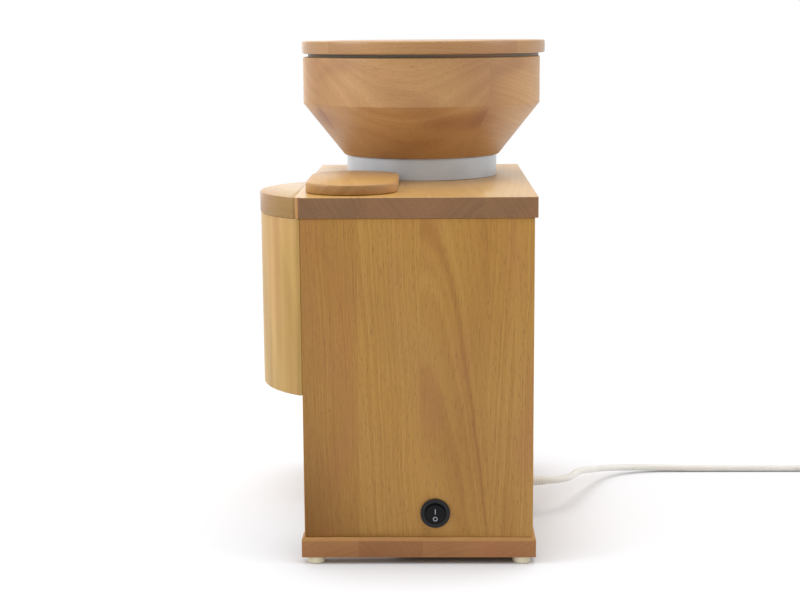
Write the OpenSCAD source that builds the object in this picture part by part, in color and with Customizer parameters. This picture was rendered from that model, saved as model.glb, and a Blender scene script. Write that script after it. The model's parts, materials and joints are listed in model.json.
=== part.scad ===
// Electric grain mill with a wooden casing, a turned hopper and an open bay for the flour bowl.
// X runs towards the switch side, Y towards the rear, Z up. Lengths are in millimetres.

/* [Casing] */
// Width of the top and base boards, side to side
board_w = 301; // [300:1:365]
// Depth of the top and base boards, front to back
board_l = 183; // [178:1:222]
// Thickness of the top board
top_t = 16; // [14:0.5:20]
// Thickness of the base board
base_t = 16.5; // [14:0.5:20]
// Height of the casing panels
panel_h = 250; // [240:1:300]
// Thickness of the casing panels
panel_t = 14; // [12:0.5:16]
// Overhang of the boards past the side panels
over_side = 1; // [0.5:0.5:3]
// Overhang of the boards past the front and rear panels
over_end = 2.5; // [1:0.5:4]
// Side of the square battens in the corners
batten_w = 16; // [12:1:18]

/* [Feet] */
// Height of the feet
foot_h = 5.5; // [4:0.5:8]
// Diameter of the feet
foot_d = 14; // [12:0.5:15]
// Distance from a board side edge to a foot's centre
foot_in_x = 8; // [7.5:0.5:12]
// Distance from a board end edge to a foot's centre
foot_in_y = 11; // [9:0.5:16]

/* [Spout and bay] */
// Radius of the round front cap
cap_r = 84; // [80:1:95]
// Width of the cap along the front edge
cap_w = 134; // [125:1:140]
// Shoulder between the cap and the board's near corner
cap_step = 0.3; // [0.3:0.1:2]
// How far the spout shell sits in from the cap's edge
spout_in = 0.5; // [0.2:0.1:2]
// Wall of the spout shell
spout_wall = 8; // [6:0.5:12]
// Height of the spout's mouth and of the bay above the floor
spout_z = 135; // [125:1:150]
// Width of the bay inside the casing
bay_w = 143; // [130:1:145]
// Depth of the bay behind the front face
bay_d = 68; // [60:1:70]
// Thickness of the bay boards
bay_t = 8; // [6:0.5:9]

/* [Hopper] */
// Distance from the far board edge to the hopper's axis
hopper_in = 104; // [100:1:105]
// Distance of the hopper's axis behind the casing's middle
hopper_back = 2.5; // [0:0.5:5]
// Outer radius of the hopper
hopper_r = 102; // [90:0.5:103]
// Height of the hopper's straight wall
hopper_wall_h = 39.4; // [35:0.1:60]
// Height of the hopper's cone
hopper_cone_h = 44; // [40:0.1:55]
// Radius of the hopper's foot
hopper_foot_r = 67; // [66.5:0.5:72]
// Thickness of the hopper's wall
hopper_wall = 11; // [8:0.5:14]
// Thickness of wood below the funnel at the throat
hopper_floor = 8; // [6:0.5:12]
// Radius of the lid
lid_r = 104.5; // [104:0.5:120]
// Thickness of the lid's disc
lid_t = 10.8; // [9:0.1:14]
// Height of the shadow gap between lid and hopper
lid_gap = 2.8; // [2:0.1:5]
// How far the lid's step is set in from the hopper's outside
lid_gap_in = 2; // [1:0.1:5]
// Depth of the plug that centres the lid
lid_plug_h = 6; // [4:0.5:10]
// Clearance round the lid's plug
lid_clear = 2; // [0.5:0.1:2]
// Share of that clearance by which the loose lid lies towards the rear
lid_shift = 0.8; // [0:0.1:0.8]

/* [Adjusting ring] */
// Outer radius of the ring
ring_r = 65; // [64.5:0.5:66]
// Visible height of the ring
ring_h = 18; // [14:0.5:22]
// Gap between the ring and the top board
ring_gap = 0.6; // [0.4:0.1:1.5]
// Wall of the ring's skirt and flange
ring_wall = 6; // [5:0.5:7]
// Wall of the threaded neck
neck_wall = 7; // [5:0.5:8]
// Outer radius of the spigot that carries the stone carrier
spigot_r = 32; // [30:0.5:34]
// Inner radius of the spigot, the grain's throat
throat_r = 24; // [20:0.5:26]
// Wall of the collar round the neck
collar_wall = 4.5; // [4:0.5:6]
// Thickness of the collar's flange
collar_flange_t = 4; // [3:0.5:6]

/* [Milling set] */
// Radius of the stones
stone_r = 46; // [38:0.5:46.5]
// Thickness of each stone
stone_t = 20; // [16:0.5:22]
// Gap between the stones at the finest setting
stone_gap = 0.3; // [0.2:0.05:0.5]
// Radius of the upper stone's eye
eye_r = 16; // [12:0.5:20]
// Thickness of the stone carrier
carrier_t = 6; // [5:0.5:8]
// Diameter of the carrier's guide pins
guide_d = 5; // [4:0.5:6]
// Thickness of the lower stone's holder
holder_t = 4; // [3:0.5:5]
// Height of the wiper blades
wiper_h = 4.5; // [3:0.5:6]
// Space between the stones and the chamber's wall
chamber_gap = 16; // [15:0.5:17]
// Wall and floor of the milling chamber
chamber_t = 4; // [3:0.5:5]

/* [Flour channel and its cover] */
// Inner width of the flour channel
chute_w = 28; // [22:1:32]
// Height of the outlet in the chamber's wall
outlet_h = 28; // [20:1:34]
// Sheet thickness of the channel
chute_t = 1.5; // [1:0.1:2]
// Distance from the cap's middle to where the channel meets the spout
chute_aim = 21; // [10:1:25]
// Length of the cover
cover_l = 130; // [118:1:132]
// Width of the cover
cover_w = 72; // [64:1:74]
// Thickness of the cover
cover_t = 8; // [6:0.5:12]
// Distance from the near board edge to the cover's tip
cover_in = 12; // [10:1:18]
// Distance from the front board edge to the cover's centre line
cover_back = 40; // [38:1:44]
// Radius of the cleaning hole under the cover
clean_r = 12; // [8:0.5:13]
// Diameter of the cover's pivot pin
pivot_d = 6; // [4:0.5:8]

/* [Motor] */
// Radius of the stator and of the end shields
stator_r = 43; // [40:0.5:46]
// Length of the stator core
stator_l = 40; // [34:1:42]
// Radius of the armature
armature_r = 24; // [21:0.5:26]
// Radius of the lower bearing cage
cage_r = 32; // [29:0.5:32.5]
// Diameter of the shaft at the stones and the upper bearing
shaft_d = 10; // [9:0.5:12]
// Diameter of the shaft at the lower bearing
shaft_end_d = 8; // [7:0.5:8]
// Radius of the cooling fan
fan_r = 30; // [25:0.5:34]
// Number of fan blades
fan_blades = 9; // [6:1:12]

/* [Switch] */
// Distance of the switch behind the casing's middle
switch_back = 13; // [8:0.5:30]
// Height of the switch above the floor
switch_z = 41.4; // [36:0.1:60]
// Diameter of the switch's bezel
bezel_d = 23; // [22.5:0.1:24]
// Thickness of the bezel
bezel_t = 1.8; // [1.5:0.1:2.5]
// Diameter of the switch's body in its hole
switch_d = 20; // [19.5:0.1:20.5]
// Diameter of the opening in the bezel
rocker_hole_d = 16.8; // [16.5:0.1:17.5]
// Diameter of the rocker
rocker_d = 15.6; // [15:0.1:15.8]
// Angle of the rocker's travel
rocker_travel = 22; // [16:1:24]

/* [Mains lead] */
// Diameter of the mains lead
cord_d = 6; // [5.5:0.1:6.5]
// Distance of the lead's exit from the casing's middle, towards the switch
exit_off = 13.6; // [10:0.1:20]
// Height of the lead's exit above the floor
exit_z = 28.5; // [28:0.5:40]
// Length of the strain relief outside the panel
relief_l = 20; // [20:1:40]
// Mean radius of the coil
coil_r = 34; // [32:0.5:36]
// Diameter of the plug's pins
pin_d = 4; // [3.8:0.1:4.2]
// Length of the plug's pins
pin_l = 19; // [17:0.5:20]
// Distance between the plug's pins
pin_gap = 18.6; // [17.5:0.1:19]

/* [Fits] */
// Radial clearance of turning shafts and pins
run_clear = 0.04; // [0.02:0.01:0.08]
// Radial clearance of the neck in its collar
thread_clear = 0.06; // [0.03:0.01:0.1]
// Clearance between parts that move past each other
move_clear = 0.3; // [0.2:0.05:0.5]
// Clearance of screws and of parts set into holes
fit_clear = 0.1; // [0.05:0.05:0.2]

/* [Hidden] */
$fn = 96;

// Levels, from the floor up
base_top = foot_h + base_t;
panel_top = base_top + panel_h;
board_top = panel_top + top_t;
ring_z = board_top + ring_gap;
hopper_z = ring_z + ring_h;
knee_z = hopper_z + hopper_cone_h;
rim_z = knee_z + hopper_wall_h;
lid_z = rim_z + lid_gap;

// Plan: the origin is the middle of the whole outline, so the casing's middle follows from what stands out
cap_rise = cap_r - sqrt(cap_r * cap_r - cap_w * cap_w / 4);
rocker_out = 2.4;
switch_out = bezel_t + rocker_out;
far_out = max(0, lid_r - hopper_in);
lid_back = lid_shift * lid_clear;
rear_out = max(board_l / 2, hopper_back + lid_r + lid_back);
mid_x = (far_out - switch_out + over_side) / 2;
mid_y = (board_l / 2 + cap_rise - rear_out) / 2;
near_x = mid_x + board_w / 2 - over_side;
far_x = mid_x - board_w / 2 + over_side;
edge_y = mid_y - board_l / 2;
front_y = edge_y + over_end;
rear_y = mid_y + board_l / 2 - over_end;
inner_near_x = near_x - panel_t;
inner_far_x = far_x + panel_t;
inner_front_y = front_y + panel_t;
inner_rear_y = rear_y - panel_t;
cap_x = mid_x + board_w / 2 - cap_w / 2 - cap_step;
cap_y = edge_y + sqrt(cap_r * cap_r - cap_w * cap_w / 4);
bay_x = inner_near_x - bay_w;
bay_y = front_y + bay_d;

// Hopper, ring and milling set, all about one upright axis
axis_x = mid_x - board_w / 2 + hopper_in;
axis_y = mid_y + hopper_back;
hopper_in_r = hopper_r - hopper_wall;
funnel_z = hopper_z + hopper_floor;
guide_r = stone_r + 2.5 + guide_d / 2;
carrier_r = guide_r + guide_d / 2 + 2.5;
neck_r = carrier_r + 2;
neck_z = panel_top + move_clear;
collar_r = neck_r + thread_clear + collar_wall;
chamber_r = stone_r + chamber_gap;
collar_flange_r = chamber_r + chamber_t + 2;
screw_ring_r = chamber_r + chamber_t + 6;
ear_r = 7;
hopper_screw_r = (spigot_r + neck_r - neck_wall) / 2;
carrier_z = panel_top - carrier_t;
upper_stone_z = carrier_z - stone_t;
lower_stone_z = upper_stone_z - stone_gap - stone_t;
holder_z = lower_stone_z - holder_t;
chamber_floor_z = holder_z - wiper_h - 1.2;
chamber_z = chamber_floor_z - chamber_t;
chamber_top = panel_top - collar_flange_t;
recess_r = spigot_r + 4.5;
recess_h = 5.5;
spigot_z = carrier_z - recess_h + 1.5;
snap_t = 1.4;
snap_z = carrier_z - move_clear - snap_t;
snap_groove = 1.5;
lug_top = carrier_z - 8;
hub_r = 11;
seal_r = 14;
nut_z = upper_stone_z - 9.7;

// Flour channel: one wall runs on from the chamber's wall, and its centre line meets the front at the spout
chute_off = chamber_r - chute_w / 2;
chute_floor_z = chamber_floor_z;
aim_x = cap_x - chute_aim - axis_x;
aim_y = axis_y - front_y;
chute_turn = atan(aim_y / aim_x) + asin(chute_off / norm([aim_x, aim_y]));
chute_start_x = axis_x + chute_off * sin(chute_turn);
chute_start_y = axis_y + chute_off * cos(chute_turn);
cover_y = edge_y + cover_back;
pivot_x = mid_x + board_w / 2 - cover_in - cover_w / 2;
cover_far_x = pivot_x - cover_l + cover_w;
clean_x = chute_start_x + (chute_start_y - cover_y) / tan(chute_turn);
cover_z = board_top + move_clear;
chute_flange = 8;
flange_start = screw_ring_r - 2;
flange_end = (axis_y - inner_front_y + cos(chute_turn) * (chute_off - chute_w / 2 - chute_flange)) / sin(chute_turn) - 4;

// Motor levels, hung from the chamber's floor
shield_t = 12;
shield_z = chamber_z - shield_t;
skirt_h = 8;
stator_z = shield_z - skirt_h - stator_l;
lower_flange_t = 4;
cage_z = stator_z - 2 * lower_flange_t - 50;
winding_out = 3.7;
bearing_up = [13, 8];
bearing_low = [11, 7];
bearing_up_z = shield_z - 2;
bearing_low_z = cage_z + 3;
commutator_z = cage_z + 18;
commutator_h = 14;
commutator_r = 11;
fan_z = cage_z - 14;
fan_h = 10;
shaft_top = nut_z + 8;
shaft_step = bearing_low_z + bearing_low[1] + 1;
bolt_r = 38.5;

// Switch, lead and plug
switch_y = mid_y + switch_back;
pivot_depth = 1.5;
rocker_rise = 2.6;
rocker_pivot_x = near_x + bezel_t - pivot_depth;
exit_x = mid_x + exit_off;
gland_r = 4.4;
wire_r = 1.1;
exit_y = rear_y;
gland_flange_r = 5.5;
gland_nut_r = 5.9;
plug_body = [13.6, 35, 27];
plug_neck = [13, 16, 8];
boot_r = 3.6;
boot_l = 26;

// The lead's way from its exit: steps in X and Y, and how much of the exit's height is left
lead_way = [[0, 0, 1], [0, 7, 1], [0, 13, 1], [0, 18, 1], [-1, 25.5, 1], [-3.5, 32, 1], [-8, 38, 1],
    [-14, 42.5, 0.99], [-22, 46, 0.98], [-31, 49.5, 0.95], [-41, 53.5, 0.89], [-52, 58, 0.79], [-63, 62.5, 0.68],
    [-75, 67, 0.56], [-87, 72, 0.45], [-98, 77.5, 0.35], [-108, 84.5, 0.26], [-116, 93, 0.18],
    [-122, 103, 0.12], [-126, 114, 0.08], [-128.5, 126, 0.05], [-130, 140, 0.02], [-130, 155, 0.01],
    [-130, 172, 0], [-130, 192, 0], [-130, 212, 0], [-130, 232, 0], [-130, 252, 0], [-130, 272, 0], [-130, 303, 0]];
lying_z = cord_d / 2;
cord_route = [for (w = lead_way) [exit_x + w[0], exit_y + w[1], lying_z + w[2] * (exit_z - lying_z)]];

// The coil: two layers of turns, entered along its outermost turn and left towards +X at its rear
coil_h = 2 * cord_d;
coil_half = 2 * cord_d;
coil_c = [exit_x - 130 + coil_r + 1.5 * cord_d, exit_y + 317];
plug_z = plug_body[0] / 2 + 0.2;
plug_y = coil_c[1] + coil_r + cord_d / 2;
plug_x = coil_c[0] + 36;

// A part placed on the hopper's axis
module on_axis() {
    translate([axis_x, axis_y, 0]) children();
}

// An upright disc and an upright tube between two levels
module disc(r, z0, z1) {
    translate([0, 0, z0]) cylinder(r = r, h = z1 - z0);
}

module tube(r0, r1, z0, z1) {
    difference() {
        disc(r1, z0, z1);
        disc(r0, z0 - 1, z1 + 1);
    }
}

// A block given by its lowest and highest corners
module block(a, b) {
    translate(a) cube(b - a);
}

// Copies turned about the origin
module around(n, start = 0) {
    for (i = [0 : n - 1]) rotate([0, 0, start + i * 360 / n]) children();
}

// A part of a tube between two angles, for windings and poles
module arc_block(r0, r1, a0, a1, z0, z1) {
    steps = 12;
    far = 2 * r1;
    wedge = [for (i = [0 : steps]) far * [cos(a0 + i * (a1 - a0) / steps), sin(a0 + i * (a1 - a0) / steps)]];
    intersection() {
        tube(r0, r1, z0, z1);
        translate([0, 0, z0]) linear_extrude(z1 - z0) polygon(concat([[0, 0]], wedge));
    }
}

// A screw standing head down at the origin: its head reaches up to zero and its shank above it
module screw_up(d, l, head_d, head_h) {
    disc(head_d / 2, -head_h, 0);
    disc(d / 2, -0.01, l);
}

// The hole that such a screw needs
module screw_up_hole(d, l, head_d, head_h) {
    disc(head_d / 2 + fit_clear, -head_h - 20, 0);
    disc(d / 2 + fit_clear, -0.01, l + 0.5);
}

// Plan outline of the top board, with its round cap
module top_outline() {
    translate([mid_x - board_w / 2, edge_y]) square([board_w, board_l]);
    intersection() {
        translate([cap_x, cap_y]) circle(r = cap_r, $fn = 180);
        translate([cap_x - cap_r, edge_y - cap_rise - 1]) square([2 * cap_r, cap_rise + 1.2]);
    }
}

function foot_points() = [for (sx = [-1, 1], sy = [-1, 1])
    [mid_x + sx * (board_w / 2 - foot_in_x), mid_y + sy * (board_l / 2 - foot_in_y)]];

function base_screw_points() = [
    [inner_far_x + batten_w / 2, inner_front_y + batten_w / 2],
    [inner_far_x + batten_w / 2, inner_rear_y - batten_w / 2],
    [inner_near_x - batten_w / 2, inner_rear_y - batten_w / 2]];

base_screw = [4, 34, 8, 4];
foot_screw = [3.5, 16, 7, 2.5];
collar_screw = [4, 20, 8, 3];
chute_screw = [3, 10, 6, 2];
motor_screw = [4, 9, 7.6, 2.3];
hopper_screw = [4, 12, 8, 3];

module base_board() {
    color("peru") difference() {
        translate([0, 0, foot_h]) linear_extrude(base_t) difference() {
            translate([mid_x - board_w / 2, edge_y]) square([board_w, board_l]);
            translate([bay_x, edge_y - 1]) square([bay_w, bay_y - edge_y + 1]);
        }
        for (i = [-2 : 2]) block([axis_x - 30, axis_y + i * 10 - 2, foot_h - 1],
            [axis_x + 30, axis_y + i * 10 + 2, base_top + 1]);
        for (p = foot_points()) translate([p[0], p[1], foot_h - 1])
            cylinder(d = foot_screw[0] + 2 * fit_clear, h = foot_screw[1] - 2);
        for (p = base_screw_points()) translate([p[0], p[1], foot_h + base_screw[3]])
            screw_up_hole(base_screw[0], base_screw[1], base_screw[2], base_screw[3]);
    }
}

module near_side_panel() {
    color("burlywood") difference() {
        block([inner_near_x, front_y, base_top], [near_x, rear_y, panel_top]);
        translate([inner_near_x - 1, switch_y, switch_z]) rotate([0, 90, 0])
            cylinder(d = switch_d + 2 * fit_clear, h = panel_t + 2);
    }
}

module far_side_panel() {
    color("burlywood") block([far_x, front_y, base_top], [inner_far_x, rear_y, panel_top]);
}

module rear_panel() {
    color("burlywood") difference() {
        block([inner_far_x, inner_rear_y, base_top], [inner_near_x, rear_y, panel_top]);
        translate([exit_x, inner_rear_y - 1, exit_z]) rotate([-90, 0, 0])
            cylinder(r = gland_r + fit_clear, h = panel_t + 2);
    }
}

// The channel's outer or inner block, along its own direction
module chute_block(half_w, z0, z1, from, to) {
    on_axis() rotate([0, 0, -chute_turn]) translate([from, chute_off - half_w, z0])
        cube([to - from, 2 * half_w, z1 - z0]);
}

module front_panel() {
    color("burlywood") difference() {
        block([inner_far_x, front_y, base_top], [inner_near_x, inner_front_y, panel_top]);
        block([bay_x, front_y - 1, base_top - 1], [inner_near_x + 1, inner_front_y + 1, spout_z]);
        chute_block(chute_w / 2 + chute_t + fit_clear * 4, chute_floor_z - chute_t - fit_clear * 4,
            panel_top + 1, 0, 200);
    }
}

module bay_side_panel() {
    color("burlywood") block([bay_x - bay_t, inner_front_y, base_top], [bay_x, bay_y + bay_t, spout_z + bay_t]);
}

module bay_back_panel() {
    color("burlywood") block([bay_x, bay_y, base_top], [inner_near_x, bay_y + bay_t, spout_z]);
}

module bay_ceiling() {
    color("burlywood") block([bay_x, inner_front_y, spout_z], [inner_near_x, bay_y + bay_t, spout_z + bay_t]);
}

module corner_battens() {
    w = batten_w;
    color("tan") difference() {
        union() {
            block([inner_far_x, inner_front_y, base_top], [inner_far_x + w, inner_front_y + w, panel_top]);
            block([inner_far_x, inner_rear_y - w, base_top], [inner_far_x + w, inner_rear_y, panel_top]);
            block([inner_near_x - w, inner_rear_y - w, base_top], [inner_near_x, inner_rear_y, panel_top]);
            block([inner_near_x - w, inner_front_y, spout_z + bay_t], [inner_near_x, inner_front_y + w, panel_top]);
        }
        for (p = base_screw_points()) translate([p[0], p[1], foot_h + base_screw[3]])
            cylinder(d = base_screw[0] + 2 * fit_clear, h = base_screw[1] + 0.5);
    }
}

module top_board() {
    color("burlywood") difference() {
        translate([0, 0, panel_top]) linear_extrude(top_t) top_outline();
        on_axis() disc(collar_r + fit_clear, panel_top - 1, board_top + 1);
        on_axis() around(4, 90 - chute_turn) translate([screw_ring_r, 0, panel_top - 1])
            cylinder(d = collar_screw[0] + 2 * fit_clear, h = collar_screw[1] - 8);
        translate([clean_x, cover_y, panel_top - 1]) cylinder(r = clean_r, h = top_t + 2);
        translate([pivot_x, cover_y, board_top - 11]) cylinder(d = pivot_d + 2 * run_clear, h = 12);
        chute_screw_places() translate([0, 0, panel_top - 1])
            cylinder(d = chute_screw[0] + 2 * fit_clear, h = chute_screw[1]);
    }
}

module spout_shell() {
    r = cap_r - spout_in;
    color("khaki") intersection() {
        translate([cap_x, cap_y, 0]) tube(r - spout_wall, r, spout_z, panel_top, $fn = 180);
        block([mid_x - board_w, edge_y - cap_rise - 5, spout_z - 1], [near_x, front_y, panel_top + 1]);
    }
}

module feet() {
    color("ivory") for (p = foot_points()) translate([p[0], p[1], 0]) difference() {
        cylinder(d = foot_d, h = foot_h);
        translate([0, 0, foot_screw[3] + 0.8])
            screw_up_hole(foot_screw[0], foot_screw[1], foot_screw[2], foot_screw[3]);
    }
}

module foot_screws() {
    color("silver") for (p = foot_points()) translate([p[0], p[1], foot_screw[3] + 0.8])
        screw_up(foot_screw[0], foot_screw[1] - 4, foot_screw[2], foot_screw[3]);
}

module base_screws() {
    color("silver") for (p = base_screw_points()) translate([p[0], p[1], foot_h + base_screw[3]])
        screw_up(base_screw[0], base_screw[1], base_screw[2], base_screw[3]);
}

module hopper_bowl() {
    color("peru") on_axis() difference() {
        rotate_extrude($fn = 180) polygon([[throat_r, hopper_z], [hopper_foot_r, hopper_z],
            [hopper_r, knee_z], [hopper_r, rim_z], [hopper_in_r, rim_z], [hopper_in_r, knee_z],
            [throat_r, funnel_z]]);
        around(3, 30) translate([hopper_screw_r, 0, hopper_z - 1])
            cylinder(d = hopper_screw[0] + 2 * fit_clear, h = hopper_screw[1] - 4);
    }
}

module hopper_lid() {
    step_r = hopper_r - lid_gap_in;
    plug_r = hopper_in_r - lid_clear;
    plug_z = rim_z - lid_plug_h;
    color("burlywood") on_axis() translate([0, lid_back, 0]) rotate_extrude($fn = 180) polygon([[0, plug_z], [plug_r, plug_z],
        [plug_r, rim_z], [step_r, rim_z], [step_r, lid_z], [lid_r, lid_z], [lid_r, lid_z + lid_t],
        [0, lid_z + lid_t]]);
}

// Flange, skirt, threaded neck and spigot in one turned piece
module adjusting_ring() {
    plate_z = hopper_z - ring_wall;
    color("gainsboro") on_axis() difference() {
        union() {
            tube(throat_r, ring_r, plate_z, hopper_z);
            tube(neck_r - neck_wall, ring_r, ring_z, plate_z + 0.01);
            tube(neck_r - neck_wall, neck_r, neck_z, ring_z + 0.01);
            tube(throat_r, spigot_r, spigot_z, plate_z + 0.01);
        }
        tube(spigot_r - snap_groove, spigot_r + 1, snap_z - fit_clear, snap_z + snap_t + fit_clear);
        around(3, 30) translate([hopper_screw_r, 0, plate_z - 1])
            cylinder(d = hopper_screw[0] + 2 * fit_clear, h = ring_wall + 2);
    }
}

module hopper_screws() {
    color("silver") on_axis() around(3, 30) translate([hopper_screw_r, 0, hopper_z - ring_wall])
        screw_up(hopper_screw[0], hopper_screw[1], hopper_screw[2], hopper_screw[3]);
}

// A snap ring in the spigot's groove, open at one side
module retaining_ring() {
    color("dimgray") on_axis() difference() {
        tube(spigot_r - snap_groove + fit_clear, spigot_r + 3, snap_z, snap_z + snap_t);
        block([0, -3, snap_z - 1], [2 * spigot_r, 3, snap_z + 3]);
    }
}

module threaded_collar() {
    color("goldenrod") on_axis() difference() {
        union() {
            tube(neck_r + thread_clear, collar_r, chamber_top, board_top - 0.1);
            tube(neck_r + thread_clear, collar_flange_r, chamber_top, panel_top);
            around(4, 90 - chute_turn) difference() {
                translate([screw_ring_r, 0, chamber_top]) cylinder(r = ear_r, h = collar_flange_t);
                disc(neck_r + 1, chamber_top - 1, panel_top + 1);
            }
        }
        around(4, 90 - chute_turn) translate([screw_ring_r, 0, chamber_top - 1])
            cylinder(d = collar_screw[0] + 2 * fit_clear, h = collar_flange_t + 2);
    }
}

module collar_screws() {
    color("silver") on_axis() around(4, 90 - chute_turn) translate([screw_ring_r, 0, chamber_top - 6])
        screw_up(collar_screw[0], collar_screw[1], collar_screw[2], collar_screw[3]);
}

module milling_chamber() {
    outer = chamber_r + chamber_t;
    color("lightgray") difference() {
        on_axis() union() {
            tube(chamber_r, outer, chamber_z, chamber_top);
            tube(seal_r, outer, chamber_z, chamber_floor_z);
            around(4, 90 - chute_turn) difference() {
                translate([screw_ring_r, 0, chamber_top - 6]) cylinder(r = ear_r, h = 6);
                disc(chamber_r + 1, chamber_top - 7, chamber_top + 1);
            }
            around(2, 120) intersection() {
                translate([stone_r + 1.5, -6, lug_top - 8]) cube([chamber_r + 1 - stone_r - 1.5, 12, 8]);
                disc(chamber_r + 1, lug_top - 9, lug_top + 1);
            }
        }
        on_axis() around(4, 90 - chute_turn) translate([screw_ring_r, 0, chamber_top - 7])
            cylinder(d = collar_screw[0] + 2 * fit_clear, h = 8);
        on_axis() around(2, 120) translate([guide_r, 0, lug_top - 6])
            cylinder(d = guide_d + 2 * run_clear, h = 7);
        on_axis() around(3, 20) translate([30, 0, chamber_floor_z - motor_screw[3] - 0.2]) {
            cylinder(d = motor_screw[2] + 2 * fit_clear, h = 5);
            translate([0, 0, -5]) cylinder(d = motor_screw[0] + 2 * fit_clear, h = 6);
        }
        chute_block(chute_w / 2, chute_floor_z + 0.5, chute_floor_z + outlet_h, 0, outer + 10);
    }
}

module shaft_seal() {
    color("gray") on_axis() tube(hub_r + move_clear, seal_r - fit_clear, chamber_z, chamber_floor_z);
}

module guide_pins() {
    color("silver") on_axis() around(2, 120) translate([guide_r, 0, lug_top - 6])
        cylinder(d = guide_d, h = carrier_z + carrier_t - 0.5 - lug_top + 6);
}

module stone_carrier() {
    color("silver") on_axis() difference() {
        tube(spigot_r + run_clear, carrier_r, carrier_z, panel_top);
        around(2, 120) translate([guide_r, 0, carrier_z - 1])
            cylinder(d = guide_d + 2 * run_clear, h = carrier_t + 2);
    }
}

// Furrows cut from the eye outwards in a grinding face
module furrows(z, h) {
    around(8) translate([eye_r - 1, -1.2, z]) cube([stone_r - eye_r - 9, 2.4, h]);
}

module upper_stone() {
    color("darkgray") on_axis() difference() {
        tube(eye_r, stone_r, upper_stone_z, carrier_z);
        disc(recess_r, carrier_z - recess_h, carrier_z + 1);
        furrows(upper_stone_z - 1, 2.2);
    }
}

module lower_stone() {
    top = lower_stone_z + stone_t;
    color("darkgray") on_axis() difference() {
        disc(stone_r, lower_stone_z, top);
        disc(shaft_d / 2 + fit_clear, lower_stone_z - 1, top + 1);
        disc(eye_r - 2, nut_z, top + 1);
        furrows(top - 1.2, 3);
    }
}

module stone_holder() {
    color("silver") on_axis() difference() {
        union() {
            disc(stone_r + 5, holder_z, lower_stone_z);
            disc(hub_r, bearing_up_z + bearing_up[1] + 1, holder_z + 0.01);
        }
        disc(shaft_d / 2 + fit_clear, chamber_z - 20, lower_stone_z + 1);
    }
}

module wiper_blades() {
    color("gray") on_axis() around(3) translate([stone_r - 4, -2, holder_z - wiper_h])
        cube([chamber_r - 1.5 - stone_r + 4, 4, wiper_h]);
}

module stone_nut() {
    color("silver") on_axis() difference() {
        translate([0, 0, nut_z]) cylinder(r = 9.5, h = 6, $fn = 6);
        disc(shaft_d / 2 + fit_clear, nut_z - 1, nut_z + 7);
    }
}

// Places of the screws in the channel's flanges
module chute_screw_places() {
    for (u = [flange_start + 6, flange_end - 6], s = [-1, 1]) on_axis() rotate([0, 0, -chute_turn])
        translate([u, chute_off + s * (chute_w / 2 + chute_t + chute_flange / 2), 0]) children();
}

// An open-topped channel from the chamber's outlet to the spout, closed above by the top board
module flour_chute() {
    half = chute_w / 2 + chute_t;
    color("silver") difference() {
        union() {
            chute_block(half, chute_floor_z - chute_t, panel_top, 0, 180);
            chute_block(half + chute_flange, panel_top - chute_t, panel_top, flange_start, flange_end);
        }
        chute_block(half - chute_t, chute_floor_z, panel_top + 1, -1, 190);
        on_axis() disc(chamber_r + chamber_t + move_clear, 0, chamber_top + 0.2);
        on_axis() disc(collar_flange_r + move_clear, chamber_top, panel_top + 1);
        block([mid_x - board_w, edge_y - 200, 0], [mid_x + board_w, front_y, panel_top + 1]);
        chute_screw_places() disc(chute_screw[0] / 2 + fit_clear, panel_top - 5, panel_top + 1);
    }
}

module chute_screws() {
    color("silver") chute_screw_places() translate([0, 0, panel_top - chute_t])
        screw_up(chute_screw[0], chute_screw[1], chute_screw[2], chute_screw[3]);
}

module channel_cover() {
    r = cover_w / 2;
    color("tan") difference() {
        translate([0, 0, cover_z]) linear_extrude(cover_t) union() {
            translate([pivot_x, cover_y]) circle(r = r);
            translate([cover_far_x, cover_y]) circle(r = r);
            translate([cover_far_x, cover_y - r]) square([pivot_x - cover_far_x, cover_w]);
        }
        translate([pivot_x, cover_y, cover_z - 1]) cylinder(d = pivot_d + 2 * run_clear, h = cover_t - 2);
    }
}

module cover_pivot() {
    color("silver") translate([pivot_x, cover_y, board_top - 10]) cylinder(d = pivot_d, h = 10 + cover_t - 3.5);
}

module motor_shaft() {
    color("silver") on_axis() {
        disc(shaft_d / 2, shaft_step, shaft_top);
        disc(shaft_end_d / 2, fan_z - 2, shaft_step + 0.01);
    }
}

module upper_bearing() {
    color("slategray") on_axis()
        tube(shaft_d / 2 + run_clear, bearing_up[0], bearing_up_z, bearing_up_z + bearing_up[1]);
}

module lower_bearing() {
    color("slategray") on_axis()
        tube(shaft_end_d / 2 + run_clear, bearing_low[0], bearing_low_z, bearing_low_z + bearing_low[1]);
}

module upper_shield() {
    color("lightgray") on_axis() difference() {
        union() {
            disc(stator_r, shield_z, chamber_z);
            disc(bearing_up[0] + 4, bearing_up_z, shield_z + 0.01);
            tube(stator_r - 4, stator_r, shield_z - skirt_h, shield_z + 0.01);
            around(2, 90) translate([bolt_r, 0, shield_z - skirt_h]) cylinder(r = 4.4, h = skirt_h);
        }
        disc(bearing_up[0] + fit_clear, bearing_up_z - 1, bearing_up_z + bearing_up[1]);
        disc(hub_r + 1, bearing_up_z, chamber_z + 1);
        around(2, 90) translate([bolt_r, 0, shield_z - skirt_h - 1]) cylinder(r = 2.1, h = skirt_h + 7);
        around(3, 20) translate([30, 0, chamber_z - 8]) cylinder(d = motor_screw[0] + 2 * fit_clear, h = 9);
        around(4) translate([0, -9, shield_z - skirt_h + 3]) cube([stator_r + 1, 18, skirt_h - 5]);
        tube(stator_r, stator_r + 20, shield_z - skirt_h - 1, chamber_z + 1);
    }
}

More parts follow.
